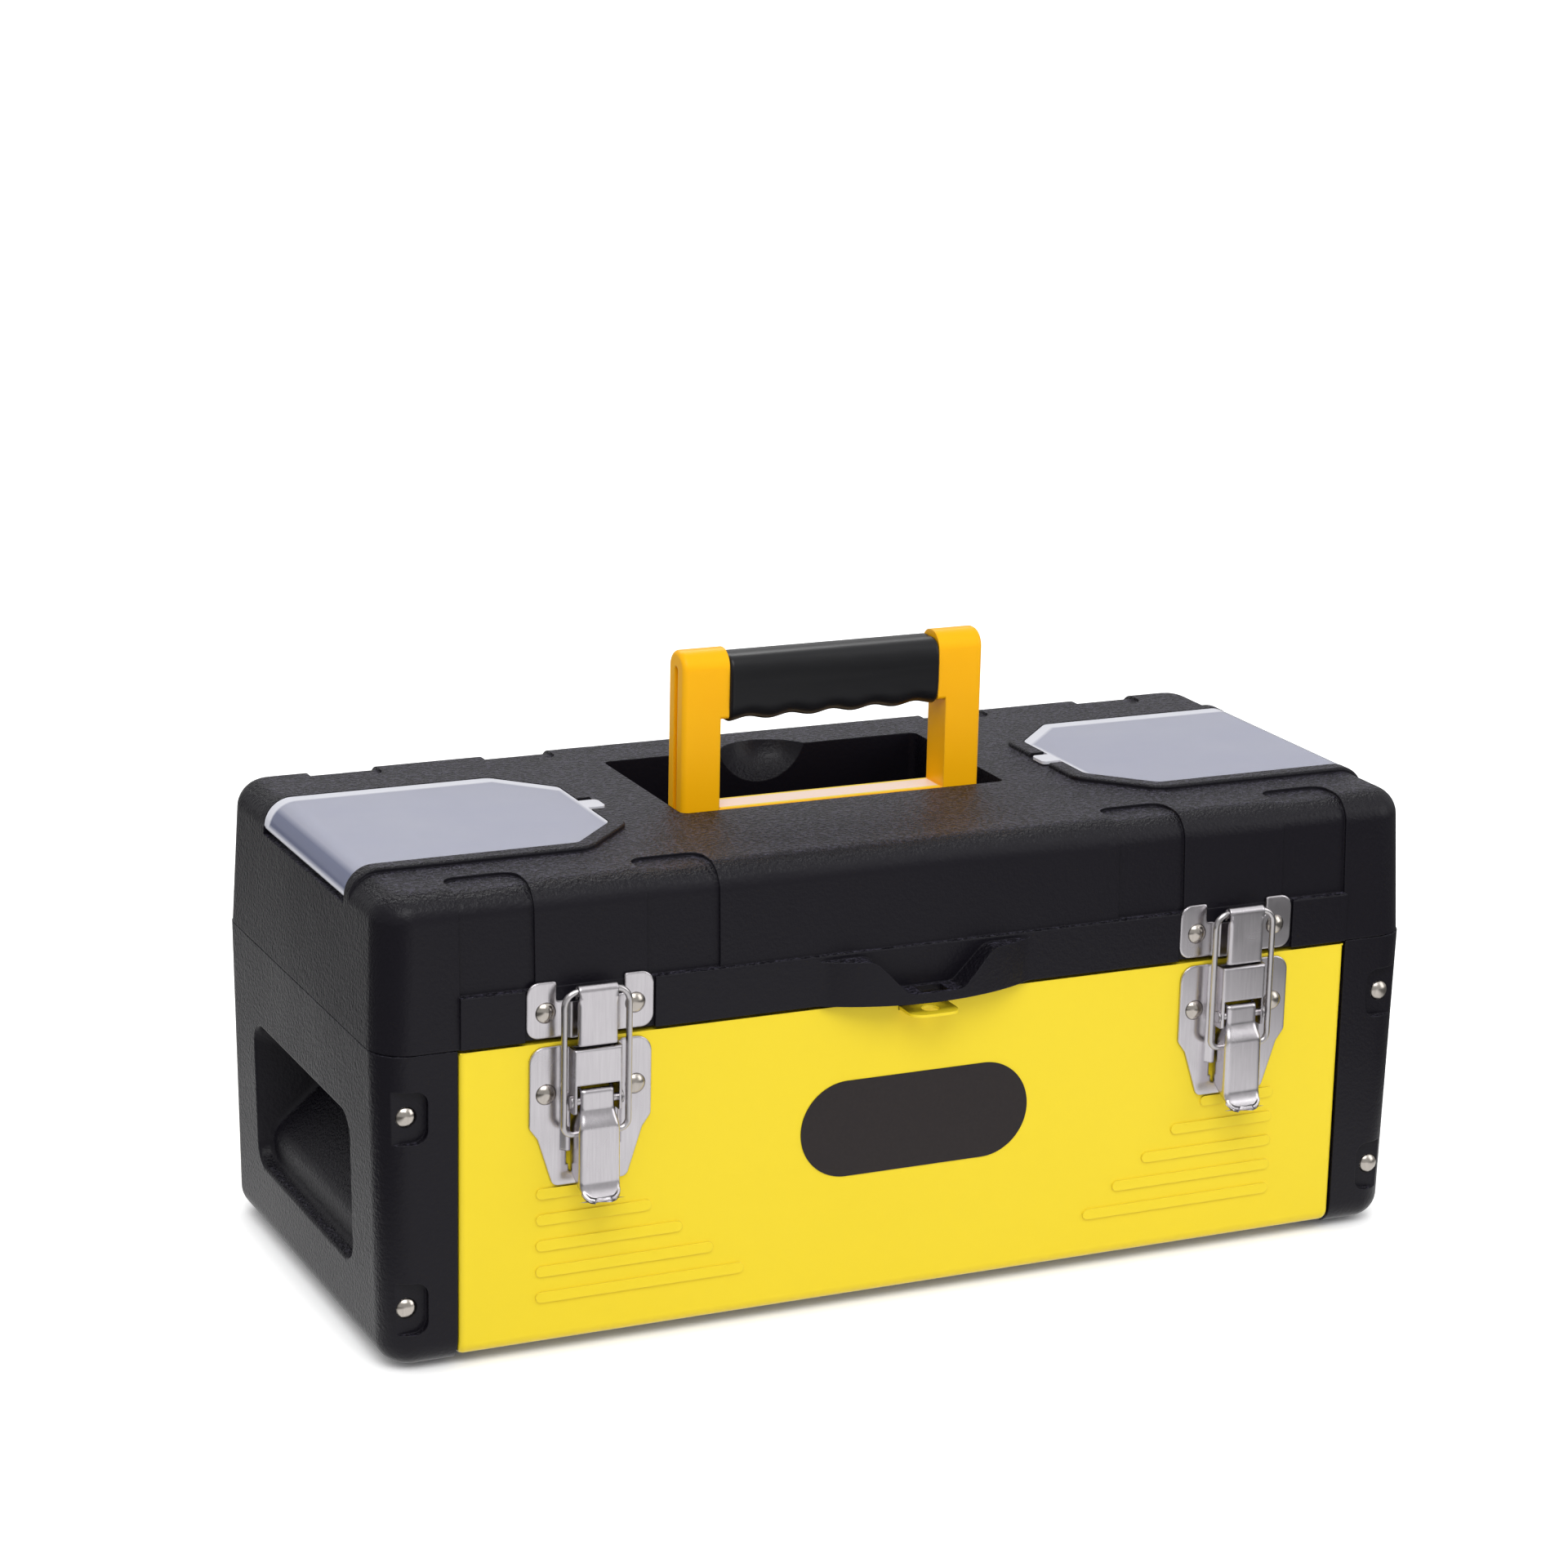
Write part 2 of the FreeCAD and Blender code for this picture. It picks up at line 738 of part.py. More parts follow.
def skirt():
    """Raised strip along the lower front edge, drawn at the front."""
    y_span = (-half_depth - skirt_rise, -half_depth + lid_wall)
    z_span = (lid_floor, lid_floor + skirt_height)
    strip = box((-skirt_half_length, skirt_half_length), y_span, z_span)
    top_edge = edges_between(strip, V(-box_length, y_span[0] - tiny, z_span[1] - tiny),
                             V(box_length, y_span[0] + tiny, z_span[1] + tiny))
    return strip.makeFillet(skirt_edge_radius, top_edge)


def seat_notch(x, y_outward):
    """Shallow seat that a keeper or a hinge leaf lies in."""
    half = keeper_half_width + seat_notch_gap
    y_span = (y_outward * seat_notch_floor, y_outward * (half_depth + overrun))
    return box((x - half, x + half), y_span, (lid_floor - overrun, keeper_top_height + seat_notch_gap))


def band(inner_x):
    """Block over one sunk band: up the front and over the upper edge."""
    y_in = -half_depth + band_top_reach
    corners = [(inner_x, -box_depth, 0), (inner_x + band_width, -box_depth, 0),
               (inner_x + band_width, y_in, band_corner_radius), (inner_x, y_in, band_corner_radius)]
    low = lid_floor + skirt_height
    return slab(corners, plan(low), V(0, 0, lid_top_height - low + overrun))


def band_cutters():
    """All eight sunk bands, each as deep as band_depth below the skin."""
    core = lid_block(lid_floor, lid_top_height - band_depth, band_depth)
    cutters = []
    for inset in band_insets:
        cutters += all_four(band(half_length - inset).cut(core))
    return cutters


def tongue_block(shrink, back, top):
    """Block with a bowed front, drawn in by shrink, from the plane y = back."""
    half = tongue_half_width - shrink
    tip = shrink - half_depth - tongue_bulge
    at = plan(lid_floor)
    bow = Part.Arc(at(-half, -half_depth), at(0, tip), at(half, -half_depth)).toShape()
    corners = [at(half, -half_depth), at(half, back), at(-half, back), at(-half, -half_depth)]
    sides = [Part.makeLine(a, b) for a, b in zip(corners, corners[1:])]
    return Part.Face(Part.Wire([bow] + sides)).extrude(V(0, 0, top - lid_floor))


def scoop(grow):
    """Tapered finger scoop in the tongue, with round brows; grow gives the outer form of its wall."""
    brow = lid_floor + tongue_height + tiny
    low = lid_floor + scoop_floor_rise - grow
    top, far = brow + overrun, scoop_top_half_width + 2 * scoop_brow_radius
    half = [(far, top, 0), (far, brow, 0), (scoop_top_half_width + grow, brow, scoop_brow_radius - grow),
            (scoop_low_half_width + grow, low, scoop_corner_radius + grow)]
    corners = half + [(-x, z, radius) for x, z, radius in reversed(half)]
    return slab(corners, front(grow - half_depth - skirt_rise), V(0, -tongue_bulge - overrun, 0))


def tongue_hollow():
    """Room under the tongue, round the scoop, in front of the lid's closed front wall."""
    back = tongue_back_inset - half_depth
    room = tongue_block(tongue_wall, back, lid_floor + tongue_height - tongue_wall)
    return room.cut(scoop(tongue_wall))


def padlock_slot():
    mid = -half_depth - eye_hole_out
    return box((-padlock_slot_half_width, padlock_slot_half_width),
               (mid - padlock_slot_half_depth, mid + padlock_slot_half_depth),
               (lid_floor - overrun, lid_floor + tongue_height))


def cover_outline(grow, outer_x):
    """Plan of a cover on the right: chamfered inner end with soft corners, straight sides."""
    rise = cover_half_width - cover_inner_half_width
    run = cover_shoulder_x - cover_inner_x
    slant = math.hypot(rise, run)
    inner_half = cover_inner_half_width + grow * (slant - run) / rise
    shoulder = cover_shoulder_x - grow * (slant - rise) / run
    wide = cover_half_width + grow
    y, r = cover_mid_y, cover_corner_radius + grow
    return [(cover_inner_x - grow, y - inner_half, r), (shoulder, y - wide, r), (outer_x, y - wide, 0),
            (outer_x, y + wide, 0), (shoulder, y + wide, r), (cover_inner_x - grow, y + inner_half, r)]


def cover_prism(grow, outer_x, z_span):
    return slab(cover_outline(grow, outer_x), plan(z_span[0]), V(0, 0, z_span[1] - z_span[0]))


def cover_rim():
    """Raised border round a cover."""
    z_span = (lid_top_height - pocket_depth, rim_top_height + overrun)
    ring = cover_prism(rim_width, half_length + overrun, z_span)
    ring = ring.common(lid_block(lid_floor, rim_top_height, 0))
    flat_end = half_length - lid_end_taper - lid_edge_radius
    top_edges = [e for e in ring.Edges if e.BoundBox.ZMin > rim_top_height - tiny]
    top_edges = [e for e in top_edges if e.BoundBox.XMin < flat_end - tiny]
    return ring.makeFillet(rim_edge_radius, top_edges)


def end_sill():
    """Thicker end edge under the curved end of a cover, where its hinge sits."""
    low = cover_top_height - knuckle_drop - sill_low
    wide = cover_half_width + sill_side
    y_span = (cover_mid_y - wide, cover_mid_y + wide)
    block = box((pocket_end_x, half_length), y_span, (low, rim_top_height))
    return block.common(lid_block(lid_floor, lid_top_height, lid_wall / 2))


def pocket_floor():
    return cover_top_height - pocket_depth


def pocket_shell():
    """Walls and floor of an organiser pocket."""
    z_span = (pocket_floor() - pocket_wall, lid_top_height - lid_wall / 2)
    return cover_prism(pocket_wall - pocket_ledge, pocket_end_x + pocket_wall, z_span)


def pocket_room():
    return cover_prism(-pocket_ledge, pocket_end_x, (pocket_floor(), rim_top_height + overrun))


def cover_seat():
    """Room for a cover, a seat gap deeper than the cover itself."""
    inset = cover_sink + cover_thick + cover_seat_gap
    core = lid_block(lid_floor, cover_top_height - cover_thick - cover_seat_gap, inset)
    z_span = (knuckle_height - end_lip_drop, rim_top_height + overrun)
    return cover_prism(cover_side_gap, half_length + overrun, z_span).cut(core)


def knuckle_room():
    """Groove for the cover's hinge barrel, holes for its stubs, and the gap for its tab."""
    half = cover_half_width + cover_side_gap
    low, high = (V(knuckle_x, cover_mid_y + s * half, knuckle_height) for s in (-1, 1))
    along = V(0, stub_reach + cover_side_gap, 0)
    groove = rod(knuckle_radius + knuckle_gap, low, high)
    open_out = box((knuckle_x, half_length + overrun), (low.y, high.y),
                   (knuckle_height - end_lip_drop, knuckle_height))
    stubs = rod(stub_radius + shaft_gap, low - along, high + along)
    wide = tab_half_width + tab_gap
    tab_way = box((cover_inner_x - rim_width - overrun, cover_inner_x + tab_gap),
                  (cover_mid_y - wide, cover_mid_y + wide), (lid_top_height, rim_top_height + overrun))
    return [groove, open_out, stubs, tab_way]


def well_spans(grow):
    return ((-well_half_width - grow, well_half_width + grow), (-well_front - grow, well_back + grow))


def handle_well(grow, top):
    """Well for the handle, or its outer form when grow is its wall."""
    x_span, y_span = well_spans(grow)
    floor = lid_top_height - well_depth - grow
    corners = rectangle(x_span, y_span, well_corner_radius + grow)
    return slab(corners, plan(floor), V(0, 0, top - floor))


def finger_dish(grow):
    """Ball-shaped finger dish in the back wall of the well."""
    middle = V(0, well_back - dish_mid_inset, lid_top_height + dish_mid_rise)
    ball = Part.makeSphere(dish_radius + grow, middle)
    if grow > 0:
        reach = dish_radius + grow
        ball = ball.common(box((-reach, reach), (well_back, well_back + reach),
                               (lid_top_height - reach, lid_top_height - lid_wall / 2)))
    return ball


def pivot_bosses():
    """Bosses outside the well that hold the handle's rod."""
    bosses = []
    for sign in side_signs.values():
        start = V(sign * well_half_width, pivot_y, pivot_height)
        bosses.append(rod(boss_radius, start, start + V(sign * boss_length, 0, 0)))
    return bosses


def lid_rivet_holes():
    holes = []
    for x in (latch_x - latch_rivet_half_span, latch_x + latch_rivet_half_span):
        hole = rivet_hole(V(x, -seat_notch_floor, keeper_rivet_height), V(0, -1, 0), overrun)
        holes += [hole, mirrored(hole)]
    for x in hinge_rivet_xs():
        hole = rivet_hole(V(x, seat_notch_floor, split_height + hinge_rivet_rise), V(0, 1, 0), overrun)
        holes += [hole, mirrored(hole)]
    return holes


def pair(shape):
    return [shape, mirrored(shape)]


def lid_shell():
    shell = lid_block(lid_floor, lid_top_height, 0).fuse(pair(cover_rim()))
    shell = shell.fuse(front_and_back(skirt()))
    shell = shell.cut(band_cutters())
    shell = shell.fuse(tongue_block(0, lid_wall / 2 - half_depth, lid_floor + tongue_height))
    shell = shell.cut(lid_block(lid_floor - overrun, lid_top_height - lid_wall, lid_wall))
    skin_mid = lid_top_height - lid_wall / 2
    shell = shell.fuse([handle_well(well_wall, skin_mid), finger_dish(dish_wall)] + pivot_bosses())
    shell = shell.fuse(pair(pocket_shell()) + pair(end_sill()))
    cutters = [handle_well(0, rim_top_height + overrun), finger_dish(0)]
    cutters += [scoop(0), tongue_hollow(), padlock_slot(), handle_rod()] + lid_rivet_holes()
    for cutter in [pocket_room(), cover_seat()] + knuckle_room():
        cutters += pair(cutter)
    for y_outward in (-1, 1):
        cutters += pair(seat_notch(latch_x, y_outward))
    return shell.cut(cutters).removeSplitter()


# Organiser covers, drawn on the right

def organiser_cover():
    """Clear cover: flat top, outer end curved down to its hinge barrel, tab at the inner end."""
    z_span = (knuckle_height, rim_top_height + overrun)
    skin = lid_block(lid_floor, cover_top_height, cover_sink)
    core = lid_block(lid_floor - overrun, cover_top_height - cover_thick, cover_sink + cover_thick)
    cover = cover_prism(0, half_length + overrun, z_span).common(skin).cut(core)
    low, high = (V(knuckle_x, cover_mid_y + s * cover_half_width, knuckle_height) for s in (-1, 1))
    along = V(0, stub_reach, 0)
    barrel = rod(knuckle_radius, low, high)
    stubs = rod(stub_radius, low - along, high + along)
    x_span = (cover_inner_x - tab_reach, cover_inner_x + cover_thick)
    wide, r = tab_half_width, tab_corner_radius
    corners = [(x_span[0], cover_mid_y - wide, r), (x_span[1], cover_mid_y - wide, 0),
               (x_span[1], cover_mid_y + wide, 0), (x_span[0], cover_mid_y + wide, r)]
    tab = slab(corners, plan(cover_top_height - tab_thick), V(0, 0, tab_thick))
    return cover.fuse([barrel, stubs, tab]).removeSplitter()


# Handle

def leg(x_inner, sign):
    """One leg, round at its pivot end and along its upper edges, grooved outside."""
    x_outer = x_inner + sign * leg_width
    half = leg_depth / 2
    low = pivot_height - half
    corners = [(pivot_y - half, low, half - tiny), (pivot_y + half, low, half - tiny),
               (pivot_y + half, handle_top_height, leg_corner_radius),
               (pivot_y - half, handle_top_height, leg_corner_radius)]
    post = slab(corners, side(x_inner), V(sign * leg_width, 0, 0))
    outer_rim = [e for e in post.Edges if abs(e.BoundBox.XMin - x_outer) + e.BoundBox.XLength < tiny]
    post = post.makeFillet(leg_edge_radius, outer_rim)
    wide = leg_groove_width / 2
    z_span = (pivot_height + leg_groove_low_rise, handle_top_height - leg_groove_top_drop)
    hollow = rectangle((pivot_y - wide, pivot_y + wide), z_span, wide - tiny)
    x_floor = x_outer - sign * leg_groove_depth
    groove = slab(hollow, side(x_floor), V(sign * (leg_groove_depth + overrun), 0, 0))
    bore = cross_rod(handle_rod_radius + shaft_gap, box_length, pivot_y, pivot_height)
    return post.cut([groove, bore])


def collar(x_inner, sign):
    """Short run of the leg's section towards the grip, which ends against it."""
    half, r = leg_depth / 2, collar_edge_radius
    low = grip_top_height - grip_height + collar_rise
    corners = [(pivot_y - half, low, r), (pivot_y + half, low, r),
               (pivot_y + half, handle_top_height, leg_corner_radius),
               (pivot_y - half, handle_top_height, leg_corner_radius)]
    return slab(corners, side(x_inner), V(-sign * collar_width, 0, 0))


def handle_frame():
    """Two legs, the tie bar between their feet and the core bar inside the grip."""
    pieces = []
    for sign in side_signs.values():
        x_inner = handle_mid_x + sign * leg_inner
        pieces += [leg(x_inner, sign), collar(x_inner, sign)]
    x_span = (handle_mid_x - leg_inner, handle_mid_x + leg_inner)
    tie = box(x_span, (pivot_y - leg_depth / 2, pivot_y + leg_depth / 2),
              (pivot_height + tie_bar_low_rise, pivot_height + tie_bar_top_rise))
    return pieces[0].fuse(pieces[1:] + [tie, core_bar(leg_inner)]).removeSplitter()


def core_bar(half):
    """Bar that carries the grip."""
    z_mid = grip_top_height - grip_height / 2
    return box((handle_mid_x - half, handle_mid_x + half),
               (pivot_y - core_half_depth, pivot_y + core_half_depth),
               (z_mid - core_half_height, z_mid + core_half_height))


def hand_grip():
    """Sleeve round the core bar, with finger waves along its underside."""
    half = leg_inner - collar_width
    x_span = (handle_mid_x - half, handle_mid_x + half)
    z_low = grip_top_height - grip_height
    y_half = grip_depth / 2
    corners = rectangle((pivot_y - y_half, pivot_y + y_half), (z_low, grip_top_height), grip_round)
    sleeve = slab(corners, side(x_span[0]), V(x_span[1] - x_span[0], 0, 0))
    pitch = (x_span[1] - x_span[0]) / wave_count
    wave_radius = (pitch ** 2 / 4 + wave_depth ** 2) / (2 * wave_depth)
    waves = []
    for i in range(wave_count):
        x = x_span[0] + (2 * i + 1) * pitch / 2
        z = z_low + wave_depth - wave_radius
        waves.append(rod(wave_radius, V(x, pivot_y - grip_depth, z), V(x, pivot_y + grip_depth, z)))
    seam = box(x_span, (pivot_y - grip_seam_width / 2, pivot_y + grip_seam_width / 2),
               (grip_top_height - grip_seam_depth, grip_top_height + overrun))
    return sleeve.cut(waves + [seam, core_bar(half + overrun)]).removeSplitter()


def handle_strip():
    """Bare strip stuck on the tie bar."""
    half = leg_inner - strip_margin
    y_half = leg_depth / 2 - strip_margin
    low = pivot_height + tie_bar_top_rise
    return box((handle_mid_x - half, handle_mid_x + half), (pivot_y - y_half, pivot_y + y_half),
               (low, low + strip_thick))


def handle_rod():
    """Steel rod across the well, held in its bosses; the legs turn on it."""
    return cross_rod(handle_rod_radius, rod_reach(), pivot_y, pivot_height)


def rod_reach():
    return well_half_width + boss_length - well_wall


# Draw latch, drawn about x = 0 and moved to its place

def rolled(shape, y, radius, above):
    """The shape with its edges in one upright plane rolled over, those that rise above a height."""
    edges = [e for e in shape.Edges if abs(e.BoundBox.YMin - y) + e.BoundBox.YLength < tiny]
    return shape.makeFillet(radius, [e for e in edges if e.BoundBox.ZMax > above + tiny])


def sheet_hat(half_width, z_span, rise, y_seat):
    """Raised centre of a pressed plate, with sloped, rounded flanks and hollow behind."""
    low, high = z_span
    front_y = y_seat - plate_thick - rise
    corners = [(-half_width - rise, y_seat - plate_thick / 2, 0), (-half_width, front_y, hat_edge_radius),
               (half_width, front_y, hat_edge_radius), (half_width + rise, y_seat - plate_thick / 2, 0)]
    solid = slab(corners, plan(low), V(0, 0, high - low))
    hollow_half = half_width - plate_thick / 2
    hollow = box((-hollow_half, hollow_half), (y_seat - rise, y_seat + overrun),
                 (low - overrun, high + overrun))
    return solid, hollow


def latch_rivet_seats(height, y):
    return [V(x, y, height) for x in (-latch_rivet_half_span, latch_rivet_half_span)]


def keeper_plate():
    """Keeper: two riveted ears joined by a raised centre below the wire's top bar."""
    y = -seat_notch_floor
    low, top, mid = keeper_low_height, keeper_top_height, keeper_bridge_height
    ear, wide, r = keeper_ear_inner, keeper_half_width, keeper_corner_radius
    corners = [(-wide, low, r), (wide, low, r), (wide, top, r), (ear, top, plate_thick),
               (ear, mid, plate_thick), (-ear, mid, plate_thick), (-ear, top, plate_thick), (-wide, top, r)]
    plate = rolled(slab(corners, front(y), V(0, -plate_thick, 0)), y - plate_thick, plate_edge_radius, 0)
    hat, hollow = sheet_hat(keeper_bridge_half_width - keeper_rise, (low, mid), keeper_rise, y)
    plate = plate.fuse(hat).cut(hollow)
    holes = [rivet_hole(seat, V(0, -1, 0), overrun) for seat in latch_rivet_seats(keeper_rivet_height, y)]
    return plate.cut(holes).removeSplitter()


def latch_base():
    """Base: pressed plate with a window, and a bridge whose ears hold the lever's pin."""
    y = -half_depth
    top, low = base_top_height, base_low_height
    r, s = base_corner_radius, base_low_corner_radius
    right_half = [(base_low_half_width, low, s), (base_waist_half_width, base_waist_low_height, s),
                  (base_half_width, base_waist_height, s), (base_half_width, top, r)]
    left_half = [(-u, v, radius) for u, v, radius in reversed(right_half)]
    plate = slab(right_half + left_half, front(y), V(0, -plate_thick, 0))
    plate = rolled(plate, y - plate_thick, plate_edge_radius, 0)
    hat_half = base_hat_half_width - base_hat_rise
    hat, hollow = sheet_hat(hat_half, (base_hat_low_height, top), base_hat_rise, y)
    plate = plate.fuse(hat).cut(hollow)
    window = slab(rectangle((-window_half_width, window_half_width), (window_low_height, bridge_low_height),
                            plate_thick), front(y + overrun), V(0, -latch_front_out - overrun, 0))
    plate = plate.cut(window)
    return plate.fuse(lever_bridge()).cut(base_holes()).removeSplitter()


def lever_bridge():
    """Channel over the lever's head: front band and two ears round the pin."""
    z_low = pin_height - ear_round
    y_back = -half_depth - plate_thick - base_hat_rise / 2
    outer = box((-bridge_half_width, bridge_half_width), (-latch_front, y_back), (z_low, base_top_height))
    front_edges = [e for e in outer.Edges if abs(e.CenterOfMass.y + latch_front) < tiny]
    outer = outer.makeFillet(bridge_edge_radius, front_edges)
    inner = bridge_half_width - plate_thick
    room = box((-inner, inner), (-latch_front + plate_thick, overrun),
               (z_low - overrun, base_top_height + overrun))
    below = box((-inner, inner), (-latch_front - overrun, overrun), (z_low - overrun, bridge_low_height))
    return outer.cut([room, below])


def base_holes():
    holes = [rivet_hole(seat, V(0, -1, 0), overrun)
             for seat in latch_rivet_seats(base_rivet_height, -half_depth - plate_thick)]
    reach = bridge_half_width + overrun
    return holes + [cross_rod(pin_radius, reach, pin_y, pin_height)]


def lever_pin():
    """Pin with two heads, fixed in the ears of the base."""
    reach = bridge_half_width
    shaft = cross_rod(pin_radius, reach, pin_y, pin_height)
    heads = []
    for sign in side_signs.values():
        start = V(sign * reach, pin_y, pin_height)
        heads.append(rod(pin_head_radius, start, start + V(sign * pin_head_thick, 0, 0)))
    return shaft.fuse(heads).removeSplitter()


def lever_profile():
    """Side outline of the lever's blade: upper fold, step outwards, flared tip, with true bends."""
    y = -latch_front
    low_y = y - lever_step_out - lever_blade_lean
    tight, wide = lever_bend_radius, lever_bend_radius + plate_thick
    face = [(y, pin_height + lever_top_rise, 0), (y, lever_step_height, tight),
            (y - lever_step_out, lever_step_height - lever_step_run, wide),
            (low_y, lever_blade_low_height, lever_flare_radius),
            (low_y - lever_tip_out, lever_tip_height, 0)]
    back_radii = [0, wide, tight, lever_flare_radius + plate_thick, 0]
    back = [(u + plate_thick, v, radius) for (u, v, _), radius in zip(face, back_radii)]
    return face + back[::-1]


def lever_front_outline():
    """Front outline of the lever: narrow head, wider blade, flared tip."""
    top = pin_height + lever_top_rise
    waist, blade, tip = lever_waist_half_width, lever_blade_half_width, lever_tip_half_width
    r = plate_thick
    right_half = [(tip, lever_tip_height, 2 * r), (blade, lever_blade_low_height, r),
                  (blade, lever_step_height - 2 * lever_step_run, 2 * r), (waist, lever_step_height, 2 * r),
                  (waist, top, r)]
    left_half = [(-u, v, radius) for u, v, radius in reversed(right_half)]
    return right_half + left_half


def lever_head():
    """Channel round the pin: front band with rolled edges, and two flanges for the pin and the wire."""
    y_front, y_back = -latch_front, pin_y + lever_flange_back
    low, top = pin_height - lever_flange_low, pin_height + lever_top_rise
    shy, r = y_front + plate_thick / 2, lever_flange_back
    corners = [(y_front, lever_step_height, 0), (shy, lever_step_height, 0), (shy, low, 0),
               (y_back, low, r), (y_back, top, r), (y_front, top, 0)]
    head = slab(corners, side(-lever_flange_out), V(2 * lever_flange_out, 0, 0))
    head = rolled(head, y_front, lever_edge_radius, lever_step_height)
    inner = lever_flange_out - plate_thick
    room = box((-inner, inner), (y_front + plate_thick, y_back + overrun), (low - overrun, top + overrun))
    below = box((-inner, inner), (y_front - overrun, y_back), (low - overrun, lever_step_height))
    return head.cut([room, below])


def latch_lever():
    """Bent lever: blade with soft edges, and a channelled head with the pin and wire holes."""
    reach = lever_tip_half_width + overrun
    blade = slab(lever_profile(), side(-reach), V(2 * reach, 0, 0))
    blade = blade.common(slab(lever_front_outline(), front(-box_depth), V(0, box_depth, 0)))
    blade = blade.makeFillet(soft_edge_radius, blade.Edges)
    holes = [cross_rod(pin_radius + shaft_gap, reach, pin_y, pin_height),
             cross_rod(wire_radius + shaft_gap, reach, loop_y, loop_pivot_height)]
    return blade.fuse(lever_head()).cut(holes).removeSplitter()


def bend(x, z, radius, x_sign, z_sign):
    """Quarter bend of the wire, its outer corner at x and z."""
    at = front(loop_y)
    part = radius * (1 - math.sqrt(0.5))
    start, end = at(x - x_sign * radius, z), at(x, z - z_sign * radius)
    return Part.Arc(start, at(x - x_sign * part, z - z_sign * part), end).toShape()


def wire_loop():
    """Round wire bent into a tall loop, its two ends turned in to the lever."""
    low, high, half = loop_pivot_height, loop_bar_height, loop_half_width
    at = front(loop_y)
    edges = [Part.makeLine(at(loop_top_radius - half, high), at(half - loop_top_radius, high))]
    for sign in side_signs.values():
        edges.append(bend(sign * half, high, loop_top_radius, sign, 1))
        x = sign * half
        edges.append(Part.makeLine(at(x, high - loop_top_radius), at(x, low + loop_low_radius)))
        edges.append(bend(x, low, loop_low_radius, sign, -1))
        x_turn = sign * (half - loop_low_radius)
        edges.append(Part.makeLine(at(x_turn, low), at(sign * loop_end_inner, low)))
    path = Part.Wire(Part.__sortEdges__(edges))
    start = path.OrderedVertexes[0].Point
    ring = Part.Wire(Part.makeCircle(wire_radius, start, V(1, 0, 0)))
    return path.makePipeShell([ring], True, False)


def hook_strip():
    """Strip curled over the wire's top bar, hanging down its front."""
    inner = wire_radius + hook_fit
    outer = inner + hook_thick
    mid = V(-hook_half_width, loop_y, loop_bar_height)
    across = V(2 * hook_half_width, 0, 0)
    curl = rod(outer, mid, mid + across)
    upper = box((-hook_half_width, hook_half_width), (loop_y - outer, loop_y + outer),
                (loop_bar_height, loop_bar_height + outer))
    curl = curl.common(upper)
    face = box((-hook_half_width, hook_half_width), (loop_y - outer, loop_y - inner),
               (hook_low_height, loop_bar_height))
    tail = box((-hook_half_width, hook_half_width), (loop_y + inner, loop_y + outer),
               (loop_bar_height - hook_back_drop, loop_bar_height))
    bar = rod(inner, mid - across, mid + across)
    strip = curl.fuse([face, tail]).cut(bar).removeSplitter()
    return strip.makeFillet(soft_edge_radius, strip.Edges)


def latch_rivets(height, y_seat, grip):
    """Four rivets, two to each latch plate."""
    rivets = []
    for sign in side_signs.values():
        for seat in latch_rivet_seats(height, y_seat):
            place = seat + V(sign * latch_x, 0, 0)
            rivets.append(rivet(place, V(0, -1, 0), grip))
    return Part.makeCompound(rivets)


# Rear hinges, drawn about x = 0

def hinge_rivet_xs():
    return [hinge_x - latch_rivet_half_span, hinge_x + latch_rivet_half_span]


def knuckle_spans(lid_side):
    """Stretches of hinge barrel that belong to the lid leaf or to the body leaf."""
    mid, far, gap = hinge_mid_half_length, hinge_half_width, hinge_knuckle_gap
    if lid_side:
        return [(-mid, mid)]
    return [(-far, -mid - gap), (mid + gap, far)]


def hinge_leaf(lid_side):
    """One leaf: riveted plate and the barrel stretches curled from its edge."""
    y_in = seat_notch_floor if lid_side else half_depth
    up = 1 if lid_side else -1
    z_near = split_height + up * leaf_top_gap
    z_far = split_height + up * (lid_leaf_height if lid_side else body_leaf_height)
    r = leaf_corner_radius
    corners = [(-hinge_half_width, z_near, 0), (hinge_half_width, z_near, 0),
               (hinge_half_width, z_far, r), (-hinge_half_width, z_far, r)]
    pieces = [slab(corners, front(y_in), V(0, plate_thick, 0))]
    for low, high in knuckle_spans(lid_side):
        start = V(low, hinge_axis_y, split_height)
        barrel = rod(hinge_knuckle_radius, start, start + V(high - low, 0, 0))
        z_web = split_height + up * (hinge_knuckle_radius - plate_thick)
        web = box((low, high), (y_in, hinge_axis_y), (z_web, z_web + up * plate_thick))
        neck = box((low, high), (y_in, y_in + plate_thick), (z_web, z_near + up * plate_thick))
        pieces += [barrel, web, neck]
    leaf = pieces[0].fuse(pieces[1:])
    reach = hinge_half_width + overrun
    bore = hinge_pin_radius + (shaft_gap if lid_side else 0)
    holes = [cross_rod(bore, reach, hinge_axis_y, split_height)]
    z_rivet = split_height + (hinge_rivet_rise if lid_side else -hinge_rivet_drop)
    for x in (-latch_rivet_half_span, latch_rivet_half_span):
        holes.append(rivet_hole(V(x, y_in + plate_thick, z_rivet), V(0, 1, 0), overrun))
    return leaf.cut(holes).removeSplitter()


def hinge_pin():
    """Pin through the barrel, fixed in the body leaf."""
    return cross_rod(hinge_pin_radius, hinge_half_width, hinge_axis_y, split_height)


def hinge_rivets(height, y_seat, grip):
    rivets = []
    for x in hinge_rivet_xs():
        rivets += pair(rivet(V(x, y_seat, height), V(0, 1, 0), grip))
    return Part.makeCompound(rivets)


# Lift-out tray

